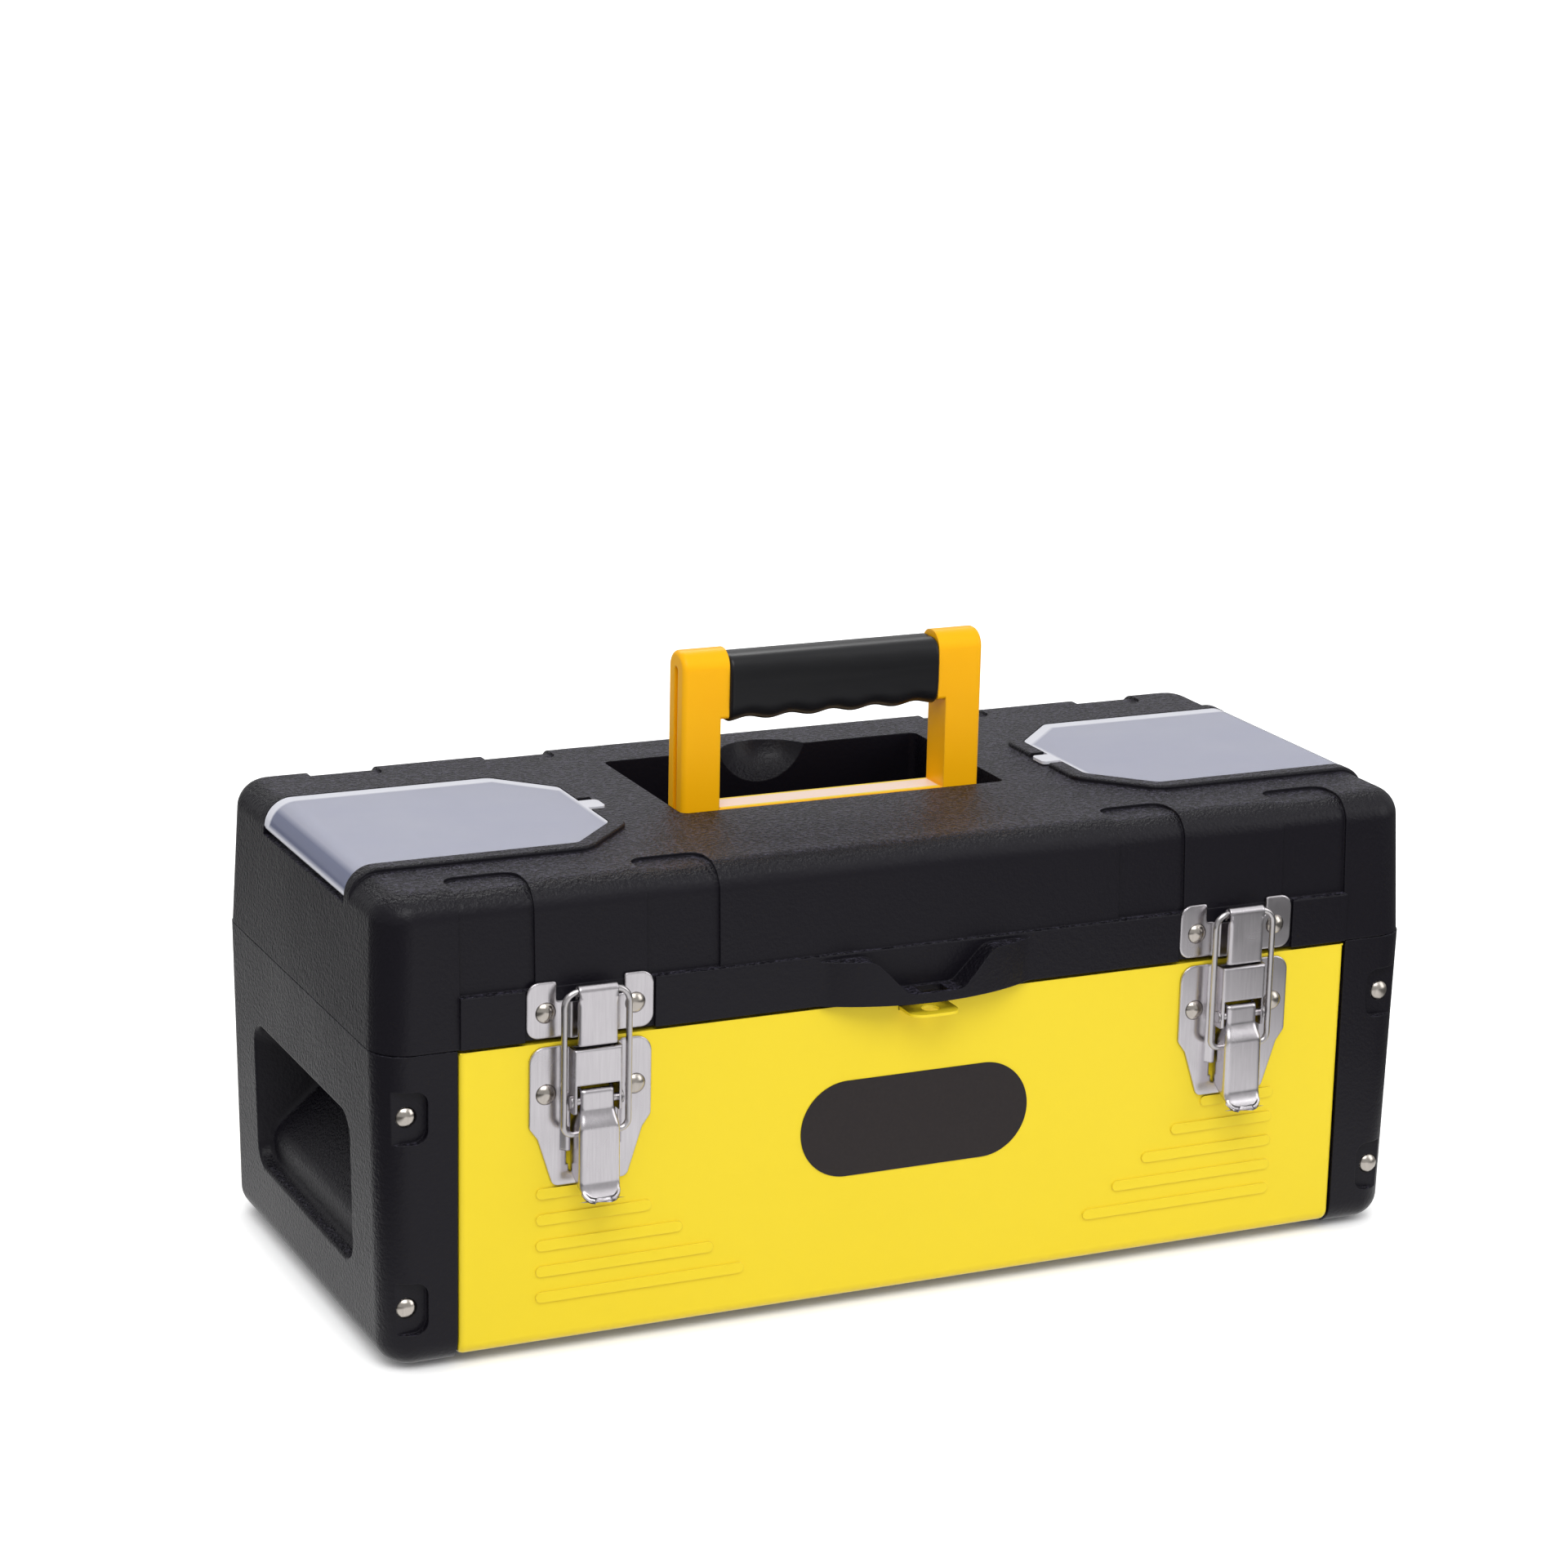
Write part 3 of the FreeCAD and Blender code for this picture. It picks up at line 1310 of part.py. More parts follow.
def lift_tray():
    """Tray with end flanges, two cross walls and a carrying wall with a hand hole."""
    top = tray_rim_height
    floor = top - tray_height
    x, y, r, w = tray_half_length, tray_half_depth, tray_corner_radius, tray_wall
    tray = slab(rectangle((-x, x), (-y, y), r), plan(floor), V(0, 0, tray_height))
    room = slab(rectangle((w - x, x - w), (w - y, y - w), r - w), plan(floor + w), V(0, 0, tray_height))
    tray = tray.cut(room)
    flange_x = x + tray_flange_reach
    flange = box((x - w, flange_x), (-tray_flange_half_depth, tray_flange_half_depth),
                 (top - tray_flange_thick, top))
    walls = []
    for sign in side_signs.values():
        middle = sign * tray_divider_x
        x_span = (middle - w / 2, middle + w / 2)
        walls.append(box(x_span, (w / 2 - y, y - w / 2), (floor + w / 2, top - r)))
    handle = tray_handle_half_length
    rise_corners = [(-tray_divider_x, floor + w / 2, 0), (tray_divider_x, floor + w / 2, 0),
                    (tray_divider_x, top - r, 0), (handle, top + tray_handle_rise, r),
                    (-handle, top + tray_handle_rise, r), (-tray_divider_x, top - r, 0)]
    carry = slab(rise_corners, front(-w / 2), V(0, w, 0))
    hole_top = top + tray_handle_rise - tray_hole_top_bar
    hole_span = (-tray_hole_half_length, tray_hole_half_length)
    hole = slab(rectangle(hole_span, (hole_top - tray_hole_height, hole_top), r), front(-w), V(0, 2 * w, 0))
    return tray.fuse(pair(flange) + walls + [carry.cut(hole)]).removeSplitter()


def at_latch(shape, sign):
    moved = shape.copy()
    moved.translate(V(sign * latch_x, 0, 0))
    return moved


def at_hinge(shape, sign):
    moved = shape.copy()
    moved.translate(V(sign * hinge_x, 0, 0))
    return moved


def lid_rivet_grip(height):
    """Metal and wall that a rivet through the lid clamps."""
    return plate_thick + seat_notch_floor - lid_half_sizes(height, lid_wall)[1]


def build():
    """Every node of the box by name."""
    nodes = {"steel_wrap": steel_wrap(), "eye_plate": eye_plate(), "front_label": front_label(),
             "cap_rivets": cap_rivets(),
             "lid_shell": lid_shell(), "handle_frame": handle_frame(), "hand_grip": hand_grip(),
             "handle_strip": handle_strip(), "handle_rod": handle_rod(), "lift_tray": lift_tray()}
    cap, cover = end_cap(), organiser_cover()
    latch = {"latch_base": latch_base(), "lever_pin": lever_pin(), "keeper_plate": keeper_plate(),
             "latch_lever": latch_lever(), "wire_loop": wire_loop(), "hook_strip": hook_strip()}
    hinge = {"hinge_body_leaf": hinge_leaf(False), "hinge_lid_leaf": hinge_leaf(True),
             "hinge_pin": hinge_pin()}
    for name, sign in side_signs.items():
        nodes["end_cap_" + name] = on_side(cap, name)
        nodes["organiser_cover_" + name] = on_side(cover, name)
        for piece, shape in latch.items():
            nodes[piece + "_" + name] = at_latch(shape, sign)
        for piece, shape in hinge.items():
            nodes[piece + "_" + name] = at_hinge(shape, sign)
    nodes["keeper_rivets"] = latch_rivets(keeper_rivet_height, -seat_notch_floor - plate_thick,
                                          lid_rivet_grip(keeper_rivet_height))
    nodes["base_rivets"] = latch_rivets(base_rivet_height, -half_depth - plate_thick, plate_thick + sheet)
    lid_rivet_height = split_height + hinge_rivet_rise
    nodes["hinge_lid_rivets"] = hinge_rivets(lid_rivet_height, seat_notch_floor + plate_thick,
                                             lid_rivet_grip(lid_rivet_height))
    nodes["hinge_body_rivets"] = hinge_rivets(split_height - hinge_rivet_drop, half_depth + plate_thick,
                                              plate_thick + sheet)
    return nodes


def main():
    os.makedirs("parts", exist_ok=True)
    for name, shape in build().items():
        if not shape.isValid():
            print("not valid:", name)
        shape.translate(V(0, centre_shift, 0))
        shape.exportStep("parts/" + name + ".step")
        print(name, len(shape.Solids), "solids, volume", round(shape.Volume), "mm3")


main()
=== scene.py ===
# %% [markdown]
# # A steel and plastic tool box
# The box is a painted steel wrap between two moulded end caps, under a moulded lid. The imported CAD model
# already holds every piece at its real size, so this lesson loads it as a fixed frame, gives the pieces
# smooth skins and their finishes, models anew what a CAD facet can't show, and sets up a plain studio.

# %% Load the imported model
import json
import math

import bpy
import numpy as np
from mathutils import Matrix, Vector


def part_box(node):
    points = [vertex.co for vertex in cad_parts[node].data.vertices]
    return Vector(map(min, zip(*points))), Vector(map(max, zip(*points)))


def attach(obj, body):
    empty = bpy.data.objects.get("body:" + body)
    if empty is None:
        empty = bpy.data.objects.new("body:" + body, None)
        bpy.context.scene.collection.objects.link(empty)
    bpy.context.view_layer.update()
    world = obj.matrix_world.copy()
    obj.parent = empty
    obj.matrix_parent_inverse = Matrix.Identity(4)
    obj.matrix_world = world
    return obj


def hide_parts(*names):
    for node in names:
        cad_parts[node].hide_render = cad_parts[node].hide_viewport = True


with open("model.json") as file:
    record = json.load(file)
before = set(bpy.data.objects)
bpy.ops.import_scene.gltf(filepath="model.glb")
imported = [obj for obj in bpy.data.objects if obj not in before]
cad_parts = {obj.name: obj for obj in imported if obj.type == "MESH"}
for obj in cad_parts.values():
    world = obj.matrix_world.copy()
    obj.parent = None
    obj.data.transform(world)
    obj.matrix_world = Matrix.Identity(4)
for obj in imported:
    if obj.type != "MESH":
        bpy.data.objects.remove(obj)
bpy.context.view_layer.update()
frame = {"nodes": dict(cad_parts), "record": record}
MM = 0.001
record = frame["record"]
slot_of_node = {part["node"]: part["material_slot"] for part in record["subparts"]}
body_of_node = {node: body for body, nodes in record["behaviour"]["bodies"].items() for node in nodes}


# %% [markdown]
# ## Colours and nodes
# Paint and plastic colours are easiest to pick as the sRGB hex values that a colour chart gives. Blender's
# shaders work on linear light, so one function turns the one into the other. A second function adds a shader
# node, sets its values and joins its inputs, which keeps each material down to a few lines that read like a
# recipe.

# %% Helpers for materials


def linear(hex_colour):
    """Linear RGBA of an sRGB hex colour: v / 12.92 near black, else ((v + 0.055) / 1.055) to the power 2.4."""
    value = np.array([int(hex_colour[i:i + 2], 16) for i in (1, 3, 5)]) / 255
    light = np.where(value <= 0.04045, value / 12.92, ((value + 0.055) / 1.055) ** 2.4)
    return (*light.tolist(), 1.0)


def add(tree, kind, settings=None, links=None):
    """Adds a node: settings are its properties or input values, links join outputs to its inputs."""
    node = tree.nodes.new("ShaderNode" + kind)
    for key, value in (settings or {}).items():
        if isinstance(key, int) or key in node.inputs:
            node.inputs[key].default_value = value
        else:
            setattr(node, key, value)
    for key, output in (links or {}).items():
        tree.links.new(output, node.inputs[key])
    return node


def new_material(name, **surface):
    """Material with one Principled shader; surface gives the values that are the same all over."""
    material = bpy.data.materials.new(name)
    material.use_nodes = True
    tree = material.node_tree
    tree.nodes.clear()
    shader = add(tree, "BsdfPrincipled", {key.replace("_", " "): value for key, value in surface.items()})
    add(tree, "OutputMaterial", links={"Surface": shader.outputs["BSDF"]})
    return material, tree, shader, add(tree, "TexCoord")


def join(tree, shader, outputs):
    """Links the outputs in a table to the shader's inputs of those names."""
    for socket, output in outputs.items():
        tree.links.new(output, shader.inputs[socket])


def per_mm(size):
    """Noise scale, in cycles per metre, for a pattern whose features are about size millimetres across."""
    return 1 / (size * MM)


print("mid grey #808080 is", round(linear("#808080")[0], 3), "in linear light")

# %% [markdown]
# ## Soft edges
# A moulded, painted or pressed edge is never sharp: it is rounded by some tenths of a millimetre. Fillets that
# small would cost many faces, so the Bevel node rounds the light over an edge. Where the rounded normal parts
# from the plain one there is an edge, so the same node also gives a mask, with which each finish can paint a
# highlight or a shade along its edges.

# %% Soft edges
edge_start, edge_full = 0.99, 0.8


def edge_light(tree, radius_mm):
    """Rounded normal near edges, and a mask that grows as the cosine of rounded to plain normal falls."""
    rounded = add(tree, "Bevel", {"samples": 4, "Radius": radius_mm * MM})
    plain = add(tree, "NewGeometry")
    same = add(tree, "VectorMath", {"operation": "DOT_PRODUCT"},
               {0: rounded.outputs["Normal"], 1: plain.outputs["Normal"]})
    mask = add(tree, "MapRange", {"From Min": edge_start, "From Max": edge_full},
               {"Value": same.outputs["Value"]})
    return rounded.outputs["Normal"], mask.outputs["Result"]


print("an edge counts in full from", round(math.degrees(math.acos(edge_full))), "degrees of turn")

# %% [markdown]
# ## Moulded black polypropylene
# The lid and the end caps are injection moulded in a tool whose steel was spark eroded, so the plastic carries
# a fine pebbled grain that breaks up its shine. The top of the tool is eroded deepest and the ends less; the
# front draws past the tool when the part is ejected, so it is left smoothest. On the flat top the tips of the
# pebbles are painted pale, as painted glints of light, and every edge is painted paler as a painted highlight.
# The real grain is about 0.5 mm; it is drawn coarser so that it shows.

# %% Black polypropylene
moulded_edge_mm = 0.7
pebble_height = 2.2 * MM
end_grain = 0.62
front_grain = 0.11
gloss_drift_mm = 70
gloss_swing = 0.08


def black_polypropylene(name, colour, glint, edge_highlight, grain_mm, depth, roughness):
    """Spark-eroded black plastic: pebbles deepest on the top, painted glints on its flats, painted highlights on
    edges.
    """
    material, tree, shader, coords = new_material(name, Specular_IOR_Level=0.2)
    place = coords.outputs["Object"]
    rounded, edge = edge_light(tree, moulded_edge_mm)
    pebbles = add(tree, "TexNoise", {"Scale": per_mm(grain_mm), "Detail": 2.0, "Roughness": 0.6},
                  {"Vector": place})
    broad = add(tree, "TexNoise", {"Scale": per_mm(gloss_drift_mm), "Detail": 5.0}, {"Vector": place})
    facing = add(tree, "SeparateXYZ", links={"Vector": coords.outputs["Normal"]})
    end = add(tree, "Math", {"operation": "ABSOLUTE"}, {0: facing.outputs["X"]})
    end_share = add(tree, "Math", {"operation": "MULTIPLY", 1: end_grain}, {0: end.outputs["Value"]})
    top_or_end = add(tree, "Math", {"operation": "MAXIMUM"},
                     {0: end_share.outputs["Value"], 1: facing.outputs["Z"]})
    relief = add(tree, "MapRange", {"From Min": 0.5, "From Max": 0.95, "To Min": front_grain * depth,
                                    "To Max": depth}, {"Value": top_or_end.outputs["Value"]})
    flat = add(tree, "MapRange", {"From Min": 0.93, "From Max": 0.99}, {"Value": top_or_end.outputs["Value"]})
    # Painted glints: the pebble tips on the flat top are painted pale, standing in for light off the grain.
    peaks = add(tree, "MapRange", {"From Min": 0.44, "From Max": 0.72}, {"Value": pebbles.outputs["Fac"]})
    glint_share = add(tree, "Math", {"operation": "MULTIPLY"},
                 {0: peaks.outputs["Result"], 1: flat.outputs["Result"]})
    grain = add(tree, "MixRGB", {"Color1": linear(colour), "Color2": linear(glint)},
                {"Fac": glint_share.outputs["Value"]})
    bump = add(tree, "Bump", {"Distance": pebble_height},
               {"Height": pebbles.outputs["Fac"], "Strength": relief.outputs["Result"], "Normal": rounded})
    gloss = add(tree, "MapRange", {"To Min": roughness - gloss_swing, "To Max": roughness + gloss_swing},
                {"Value": broad.outputs["Fac"]})
    # Painted highlight: the edges are painted paler.
    edge_highlight_share = add(tree, "MapRange", {"To Min": 0.0, "To Max": 0.2}, {"Value": edge})
    shade = add(tree, "MixRGB", {"Color2": linear(edge_highlight)},
                {"Fac": edge_highlight_share.outputs["Result"], "Color1": grain.outputs["Color"]})
    join(tree, shader, {"Base Color": shade.outputs["Color"], "Roughness": gloss.outputs["Result"],
                        "Normal": bump.outputs["Normal"]})
    return material


lid_plastic = black_polypropylene("grained_black_polypropylene", colour="#131118", glint="#4a4756",
                                  edge_highlight="#302f38", grain_mm=1.4, depth=1.0, roughness=0.37)
tray_plastic = black_polypropylene("plain_black_polypropylene", colour="#19191c", glint="#26262a",
                                   edge_highlight="#34343a", grain_mm=1.6, depth=0.2, roughness=0.48)
print("made", lid_plastic.name, "and", tray_plastic.name)

# %% [markdown]
# ## Yellow enamel on steel
# The wrap is sheet steel, sprayed and baked. Baked enamel is smooth but never flat: it keeps a soft orange
# peel, a few millimetres across, which wobbles the reflections. A faint broad noise keeps the large front from
# looking printed, and every edge of the bends and the pressed ribs is painted a shade paler, as a painted
# highlight. In the narrow slits behind the latches ambient occlusion paints the enamel dark, as painted shade.

# %% Yellow enamel
paint_edge_mm = 0.3
paint_drift_mm = 180
peel_mm = 3.5
peel_height = 0.2 * MM
slit_depth = 8 * MM


def yellow_enamel():
    """Baked enamel: slight colour drift, painted highlight on edges, painted shade in slits, orange peel as a
    shallow bump.
    """
    material, tree, shader, coords = new_material("baked_yellow_enamel", Roughness=0.36,
                                                  Specular_IOR_Level=0.28)
    place = coords.outputs["Object"]
    rounded, edge = edge_light(tree, paint_edge_mm)
    drift = add(tree, "TexNoise", {"Scale": per_mm(paint_drift_mm), "Detail": 2.0}, {"Vector": place})
    coat = add(tree, "MixRGB", {"Color1": linear("#eed326"), "Color2": linear("#f2d82f")},
               {"Fac": drift.outputs["Fac"]})
    # Painted highlight: every edge is painted a shade paler.
    paint_highlight_share = add(tree, "MapRange", {"To Min": 0.0, "To Max": 0.35}, {"Value": edge})
    colour = add(tree, "MixRGB", {"Color2": linear("#fbe768")},
                 {"Fac": paint_highlight_share.outputs["Result"], "Color1": coat.outputs["Color"]})
    # Painted shade: ambient occlusion darkens the narrow slits behind the latches.
    reach = add(tree, "AmbientOcclusion", {"samples": 8, "Distance": slit_depth})
    deep = add(tree, "MapRange", {"From Min": 0.45, "From Max": 0.2}, {"Value": reach.outputs["AO"]})
    slit_shade = add(tree, "MixRGB", {"Color2": linear("#33290f")},
                {"Fac": deep.outputs["Result"], "Color1": colour.outputs["Color"]})
    peel = add(tree, "TexNoise", {"Scale": per_mm(peel_mm), "Detail": 1.0}, {"Vector": place})
    bump = add(tree, "Bump", {"Strength": 0.1, "Distance": peel_height},
               {"Height": peel.outputs["Fac"], "Normal": rounded})
    join(tree, shader, {"Base Color": slit_shade.outputs["Color"], "Normal": bump.outputs["Normal"]})
    return material


enamel = yellow_enamel()
print("made", enamel.name)

# %% [markdown]
# ## Pressed steel, wire and rivets
# The latches are pressed from bright steel strip. Rolling leaves fine lines along the strip, here upright, and
# barrelling softens them, so the noise is stretched along Z and kept faint. Handling leaves duller smears, and
# each bend is painted darker than the flats beside it, as a painted dark reflection. The rivets are nickel
# plated: a warmer metal with hardly any lines.

# %% Latch steel and nickel
strip_edge_mm = 0.9
roll_stretch = 0.04
line_height = 0.05 * MM
smear_mm = 14


def rolled_steel(name, bright, dull, bend, roughness, line_mm):
    """Bright strip: noise stretched along Z as faint rolling lines, broad smears, a painted dark reflection at
    each edge.
    """
    material, tree, shader, coords = new_material(name, Metallic=1.0)
    place = coords.outputs["Object"]
    rounded, edge = edge_light(tree, strip_edge_mm)
    stretch = add(tree, "Mapping", {"Scale": (1.0, 1.0, roll_stretch)}, {"Vector": place})
    lines = add(tree, "TexNoise", {"Scale": per_mm(line_mm), "Detail": 3.0},
                {"Vector": stretch.outputs["Vector"]})
    smear = add(tree, "TexNoise", {"Scale": per_mm(smear_mm), "Detail": 3.0}, {"Vector": place})
    gloss = add(tree, "MapRange", {"From Min": 0.3, "From Max": 0.7, "To Min": roughness - 0.05,
                                   "To Max": roughness + 0.07}, {"Value": smear.outputs["Fac"]})
    flat = add(tree, "MixRGB", {"Color1": linear(dull), "Color2": linear(bright)},
               {"Fac": lines.outputs["Fac"]})
    # Painted reflection: each bend is painted darker.
    turn = add(tree, "MapRange", {"From Min": 0.15, "From Max": 0.75}, {"Value": edge})
    tint = add(tree, "MixRGB", {"Color2": linear(bend)},
               {"Fac": turn.outputs["Result"], "Color1": flat.outputs["Color"]})
    bump = add(tree, "Bump", {"Strength": 0.06, "Distance": line_height},
               {"Height": lines.outputs["Fac"], "Normal": rounded})
    join(tree, shader, {"Base Color": tint.outputs["Color"], "Roughness": gloss.outputs["Result"],
                        "Normal": bump.outputs["Normal"]})
    return material


latch_steel = rolled_steel("bright_rolled_steel", bright="#d6d2d6", dull="#c5c1c5", bend="#7c777c",
                           roughness=0.22, line_mm=0.6)
wire_steel = rolled_steel("drawn_steel_wire", bright="#c6c3c4", dull="#b4b0b2", bend="#8c898b",
                          roughness=0.16, line_mm=0.4)
nickel = rolled_steel("plated_nickel", bright="#c9c2ba", dull="#b4ada5", bend="#6f6a66",
                      roughness=0.17, line_mm=1.2)
print("made", latch_steel.name, wire_steel.name, nickel.name)

# %% [markdown]
# ## Handle plastic
# The handle is orange-yellow polypropylene, shinier than the lid because its tool was polished. The melt leaves
# faint flow marks some centimetres long, which show as a slight drift in colour and a shallow unevenness, and
# its edges are painted a little paler as a painted highlight.

# %% Handle plastic
handle_edge_mm = 0.9
flow_mm = 25
flow_height = 0.2 * MM


def handle_plastic():
    """Polished moulding: flow drift in the colour, shallow unevenness, soft edges with a painted highlight."""
    material, tree, shader, coords = new_material("orange_yellow_polypropylene", Roughness=0.34,
                                                  Specular_IOR_Level=0.18)
    rounded, edge = edge_light(tree, handle_edge_mm)
    flow = add(tree, "TexNoise", {"Scale": per_mm(flow_mm), "Detail": 3.0},
               {"Vector": coords.outputs["Object"]})
    colour = add(tree, "MixRGB", {"Color1": linear("#ffb404"), "Color2": linear("#ffbd0a")},
                 {"Fac": flow.outputs["Fac"]})
    # Painted highlight: the edges are painted paler.
    pale = add(tree, "MapRange", {"To Min": 0.0, "To Max": 0.4}, {"Value": edge})
    skin = add(tree, "MixRGB", {"Color2": linear("#ffc93c")},
               {"Fac": pale.outputs["Result"], "Color1": colour.outputs["Color"]})
    bump = add(tree, "Bump", {"Strength": 0.08, "Distance": flow_height},
               {"Height": flow.outputs["Fac"], "Normal": rounded})
    join(tree, shader, {"Base Color": skin.outputs["Color"], "Normal": bump.outputs["Normal"]})
    return material


handle_yellow = handle_plastic()
print("made", handle_yellow.name)

# %% [markdown]
# ## Soft black sleeve
# The grip is a soft sleeve. It is drawn over the bar lengthwise, which leaves faint marks along it, so the noise
# is stretched along X and drives the colour, the roughness and a very shallow bump together.

# %% Soft black sleeve
mark_mm = 2.5
mark_stretch = 0.05
mark_height = 0.1 * MM


def grip_sleeve():
    """Soft black sleeve: draw marks stretched along X in colour, roughness and bump."""
    material, tree, shader, coords = new_material("soft_black_sleeve", Specular_IOR_Level=0.3)
    stretch = add(tree, "Mapping", {"Scale": (mark_stretch, 1.0, 1.0)}, {"Vector": coords.outputs["Object"]})
    marks = add(tree, "TexNoise", {"Scale": per_mm(mark_mm), "Detail": 4.0},
                {"Vector": stretch.outputs["Vector"]})
    gloss = add(tree, "MapRange", {"To Min": 0.26, "To Max": 0.44}, {"Value": marks.outputs["Fac"]})
    colour = add(tree, "MixRGB", {"Color1": linear("#101013"), "Color2": linear("#17171a")},
                 {"Fac": marks.outputs["Fac"]})
    bump = add(tree, "Bump", {"Strength": 0.15, "Distance": mark_height}, {"Height": marks.outputs["Fac"]})
    join(tree, shader, {"Base Color": colour.outputs["Color"], "Roughness": gloss.outputs["Result"],
                        "Normal": bump.outputs["Normal"]})
    return material


grip_black = grip_sleeve()
print("made", grip_black.name)

# %% [markdown]
# ## Plan of a cover
# Each organiser cover is a sheet with two cut corners, a tab at its inner end and a hinge barrel at its outer
# end. Its finish needs to know how far a place is from the outline. Every straight edge of the plan has an
# inward direction, and the distance from that edge is a dot product plus an offset, which a shader can work
# out; the least of these distances is the distance from the outline. Both covers share one plan, mirrored.

# %% Plan of a cover
plan_half_width = 47.7 * MM
plan_middle_y = -2.5 * MM
shoulder_run, shoulder_rise = 20.9 * MM, 21.7 * MM
tab_length = 7.5 * MM
barrel_radius = 2.3 * MM
cover_low, cover_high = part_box("organiser_cover_right")


def plan_edges():
    """Inward direction and offset of each edge: sides, inner end, outer lip and cut corner."""
    inner_x = cover_low[0] + tab_length
    lip_z = cover_low[2] + barrel_radius
    slant = math.hypot(shoulder_run, shoulder_rise)
    inner_half_width = plan_half_width - shoulder_rise
    cut_offset = (inner_half_width * shoulder_run - inner_x * shoulder_rise) / slant
    return [((0, -1, 0), plan_half_width), ((1, 0, 0), -inner_x), ((0, 0, 1), -lip_z),
            ((shoulder_rise / slant, -shoulder_run / slant, 0), cut_offset)]


def outline_distance(tree, place):
    """Least over the edges of direction . place + offset."""
    nearest = None
    for direction, offset in plan_edges():
        along = add(tree, "VectorMath", {"operation": "DOT_PRODUCT", 1: direction}, {0: place})
        inside = add(tree, "Math", {"operation": "ADD", 1: offset}, {0: along.outputs["Value"]})
        if nearest is None:
            nearest = inside
        else:
            nearest = add(tree, "Math", {"operation": "MINIMUM"},
                          {0: nearest.outputs["Value"], 1: inside.outputs["Value"]})
    return nearest.outputs["Value"]


print("edges of the plan:", len(plan_edges()))

# %% [markdown]
# ## Milky covers
# The covers are natural polypropylene, which is milky: part of the light goes through, so that the dark pocket
# shows, and part scatters back, a little bluish. Along a cut edge the colour is painted pale, as a painted
# highlight of the light that runs along inside the sheet and comes out there. The sheet is also darker down its
# bent end.

# %% Milky polypropylene
cut_edge = 2.2 * MM
bend_start, bend_end = 2.0 * MM, 3.6 * MM
cloud_mm = 40
cloud_height = 0.3 * MM


def milky_cover():
    """Natural polypropylene: bluish and half clear, darker down the bent end, a painted highlight along the
    outline.
    """
    material, tree, shader, coords = new_material("milky_polypropylene", Roughness=0.2, IOR=1.49)
    place = coords.outputs["Object"]
    centred = add(tree, "Mapping", {"Location": (0, -plan_middle_y, 0)}, {"Vector": place})
    mirrored = add(tree, "VectorMath", {"operation": "ABSOLUTE"}, {0: centred.outputs["Vector"]})
    nearest = outline_distance(tree, mirrored.outputs["Vector"])
    rim = add(tree, "MapRange", {"From Min": cut_edge, "From Max": 0.2 * cut_edge}, {"Value": nearest})
    height = add(tree, "SeparateXYZ", links={"Vector": mirrored.outputs["Vector"]})
    bend = add(tree, "MapRange", {"From Min": cover_high[2] - bend_start, "From Max": cover_high[2] - bend_end},
               {"Value": height.outputs["Z"]})
    cloud = add(tree, "TexNoise", {"Scale": per_mm(cloud_mm), "Detail": 3.0}, {"Vector": place})
    milk = add(tree, "MixRGB", {"Color1": linear("#c2c4da"), "Color2": linear("#cfd1e0")},
               {"Fac": cloud.outputs["Fac"]})
    bent = add(tree, "MixRGB", {"Color2": linear("#8288a6")},
               {"Fac": bend.outputs["Result"], "Color1": milk.outputs["Color"]})
    # Painted highlight: the outline is painted pale.
    colour = add(tree, "MixRGB", {"Color2": linear("#e4e5ee")},
                 {"Fac": rim.outputs["Result"], "Color1": bent.outputs["Color"]})
    clear = add(tree, "MapRange", {"To Min": 0.42, "To Max": 0.1}, {"Value": rim.outputs["Result"]})
    bump = add(tree, "Bump", {"Strength": 0.05, "Distance": cloud_height}, {"Height": cloud.outputs["Fac"]})
    join(tree, shader, {"Base Color": colour.outputs["Color"], "Transmission Weight": clear.outputs["Result"],
                        "Normal": bump.outputs["Normal"]})
    return material


cover_milky = milky_cover()
print("made", cover_milky.name)

# %% [markdown]
# ## Label and strip
# Both are printed film, left bare. The label is one dark colour. The strip is cream with a lemon line along each
# long edge: the strip's own box gives its middle and its width, and the material compares the distance from the
# middle with the place where the line starts.

# %% Printed film
fibre_mm = 1.2
fibre_height = 0.05 * MM
strip_line = 1.6 * MM


def printed_film(name, colour, second, roughness):
    """Film with a faint fibre of the paper below it; gives back what the strip needs to add its border."""
    material, tree, shader, coords = new_material(name, Roughness=roughness, Specular_IOR_Level=0.2)
    fibre = add(tree, "TexNoise", {"Scale": per_mm(fibre_mm), "Detail": 3.0},
                {"Vector": coords.outputs["Object"]})
    tint = add(tree, "MixRGB", {"Color1": linear(colour), "Color2": linear(second)},
               {"Fac": fibre.outputs["Fac"]})
    bump = add(tree, "Bump", {"Strength": 0.1, "Distance": fibre_height}, {"Height": fibre.outputs["Fac"]})
    join(tree, shader, {"Base Color": tint.outputs["Color"], "Normal": bump.outputs["Normal"]})
    return material, tree, shader, coords, tint


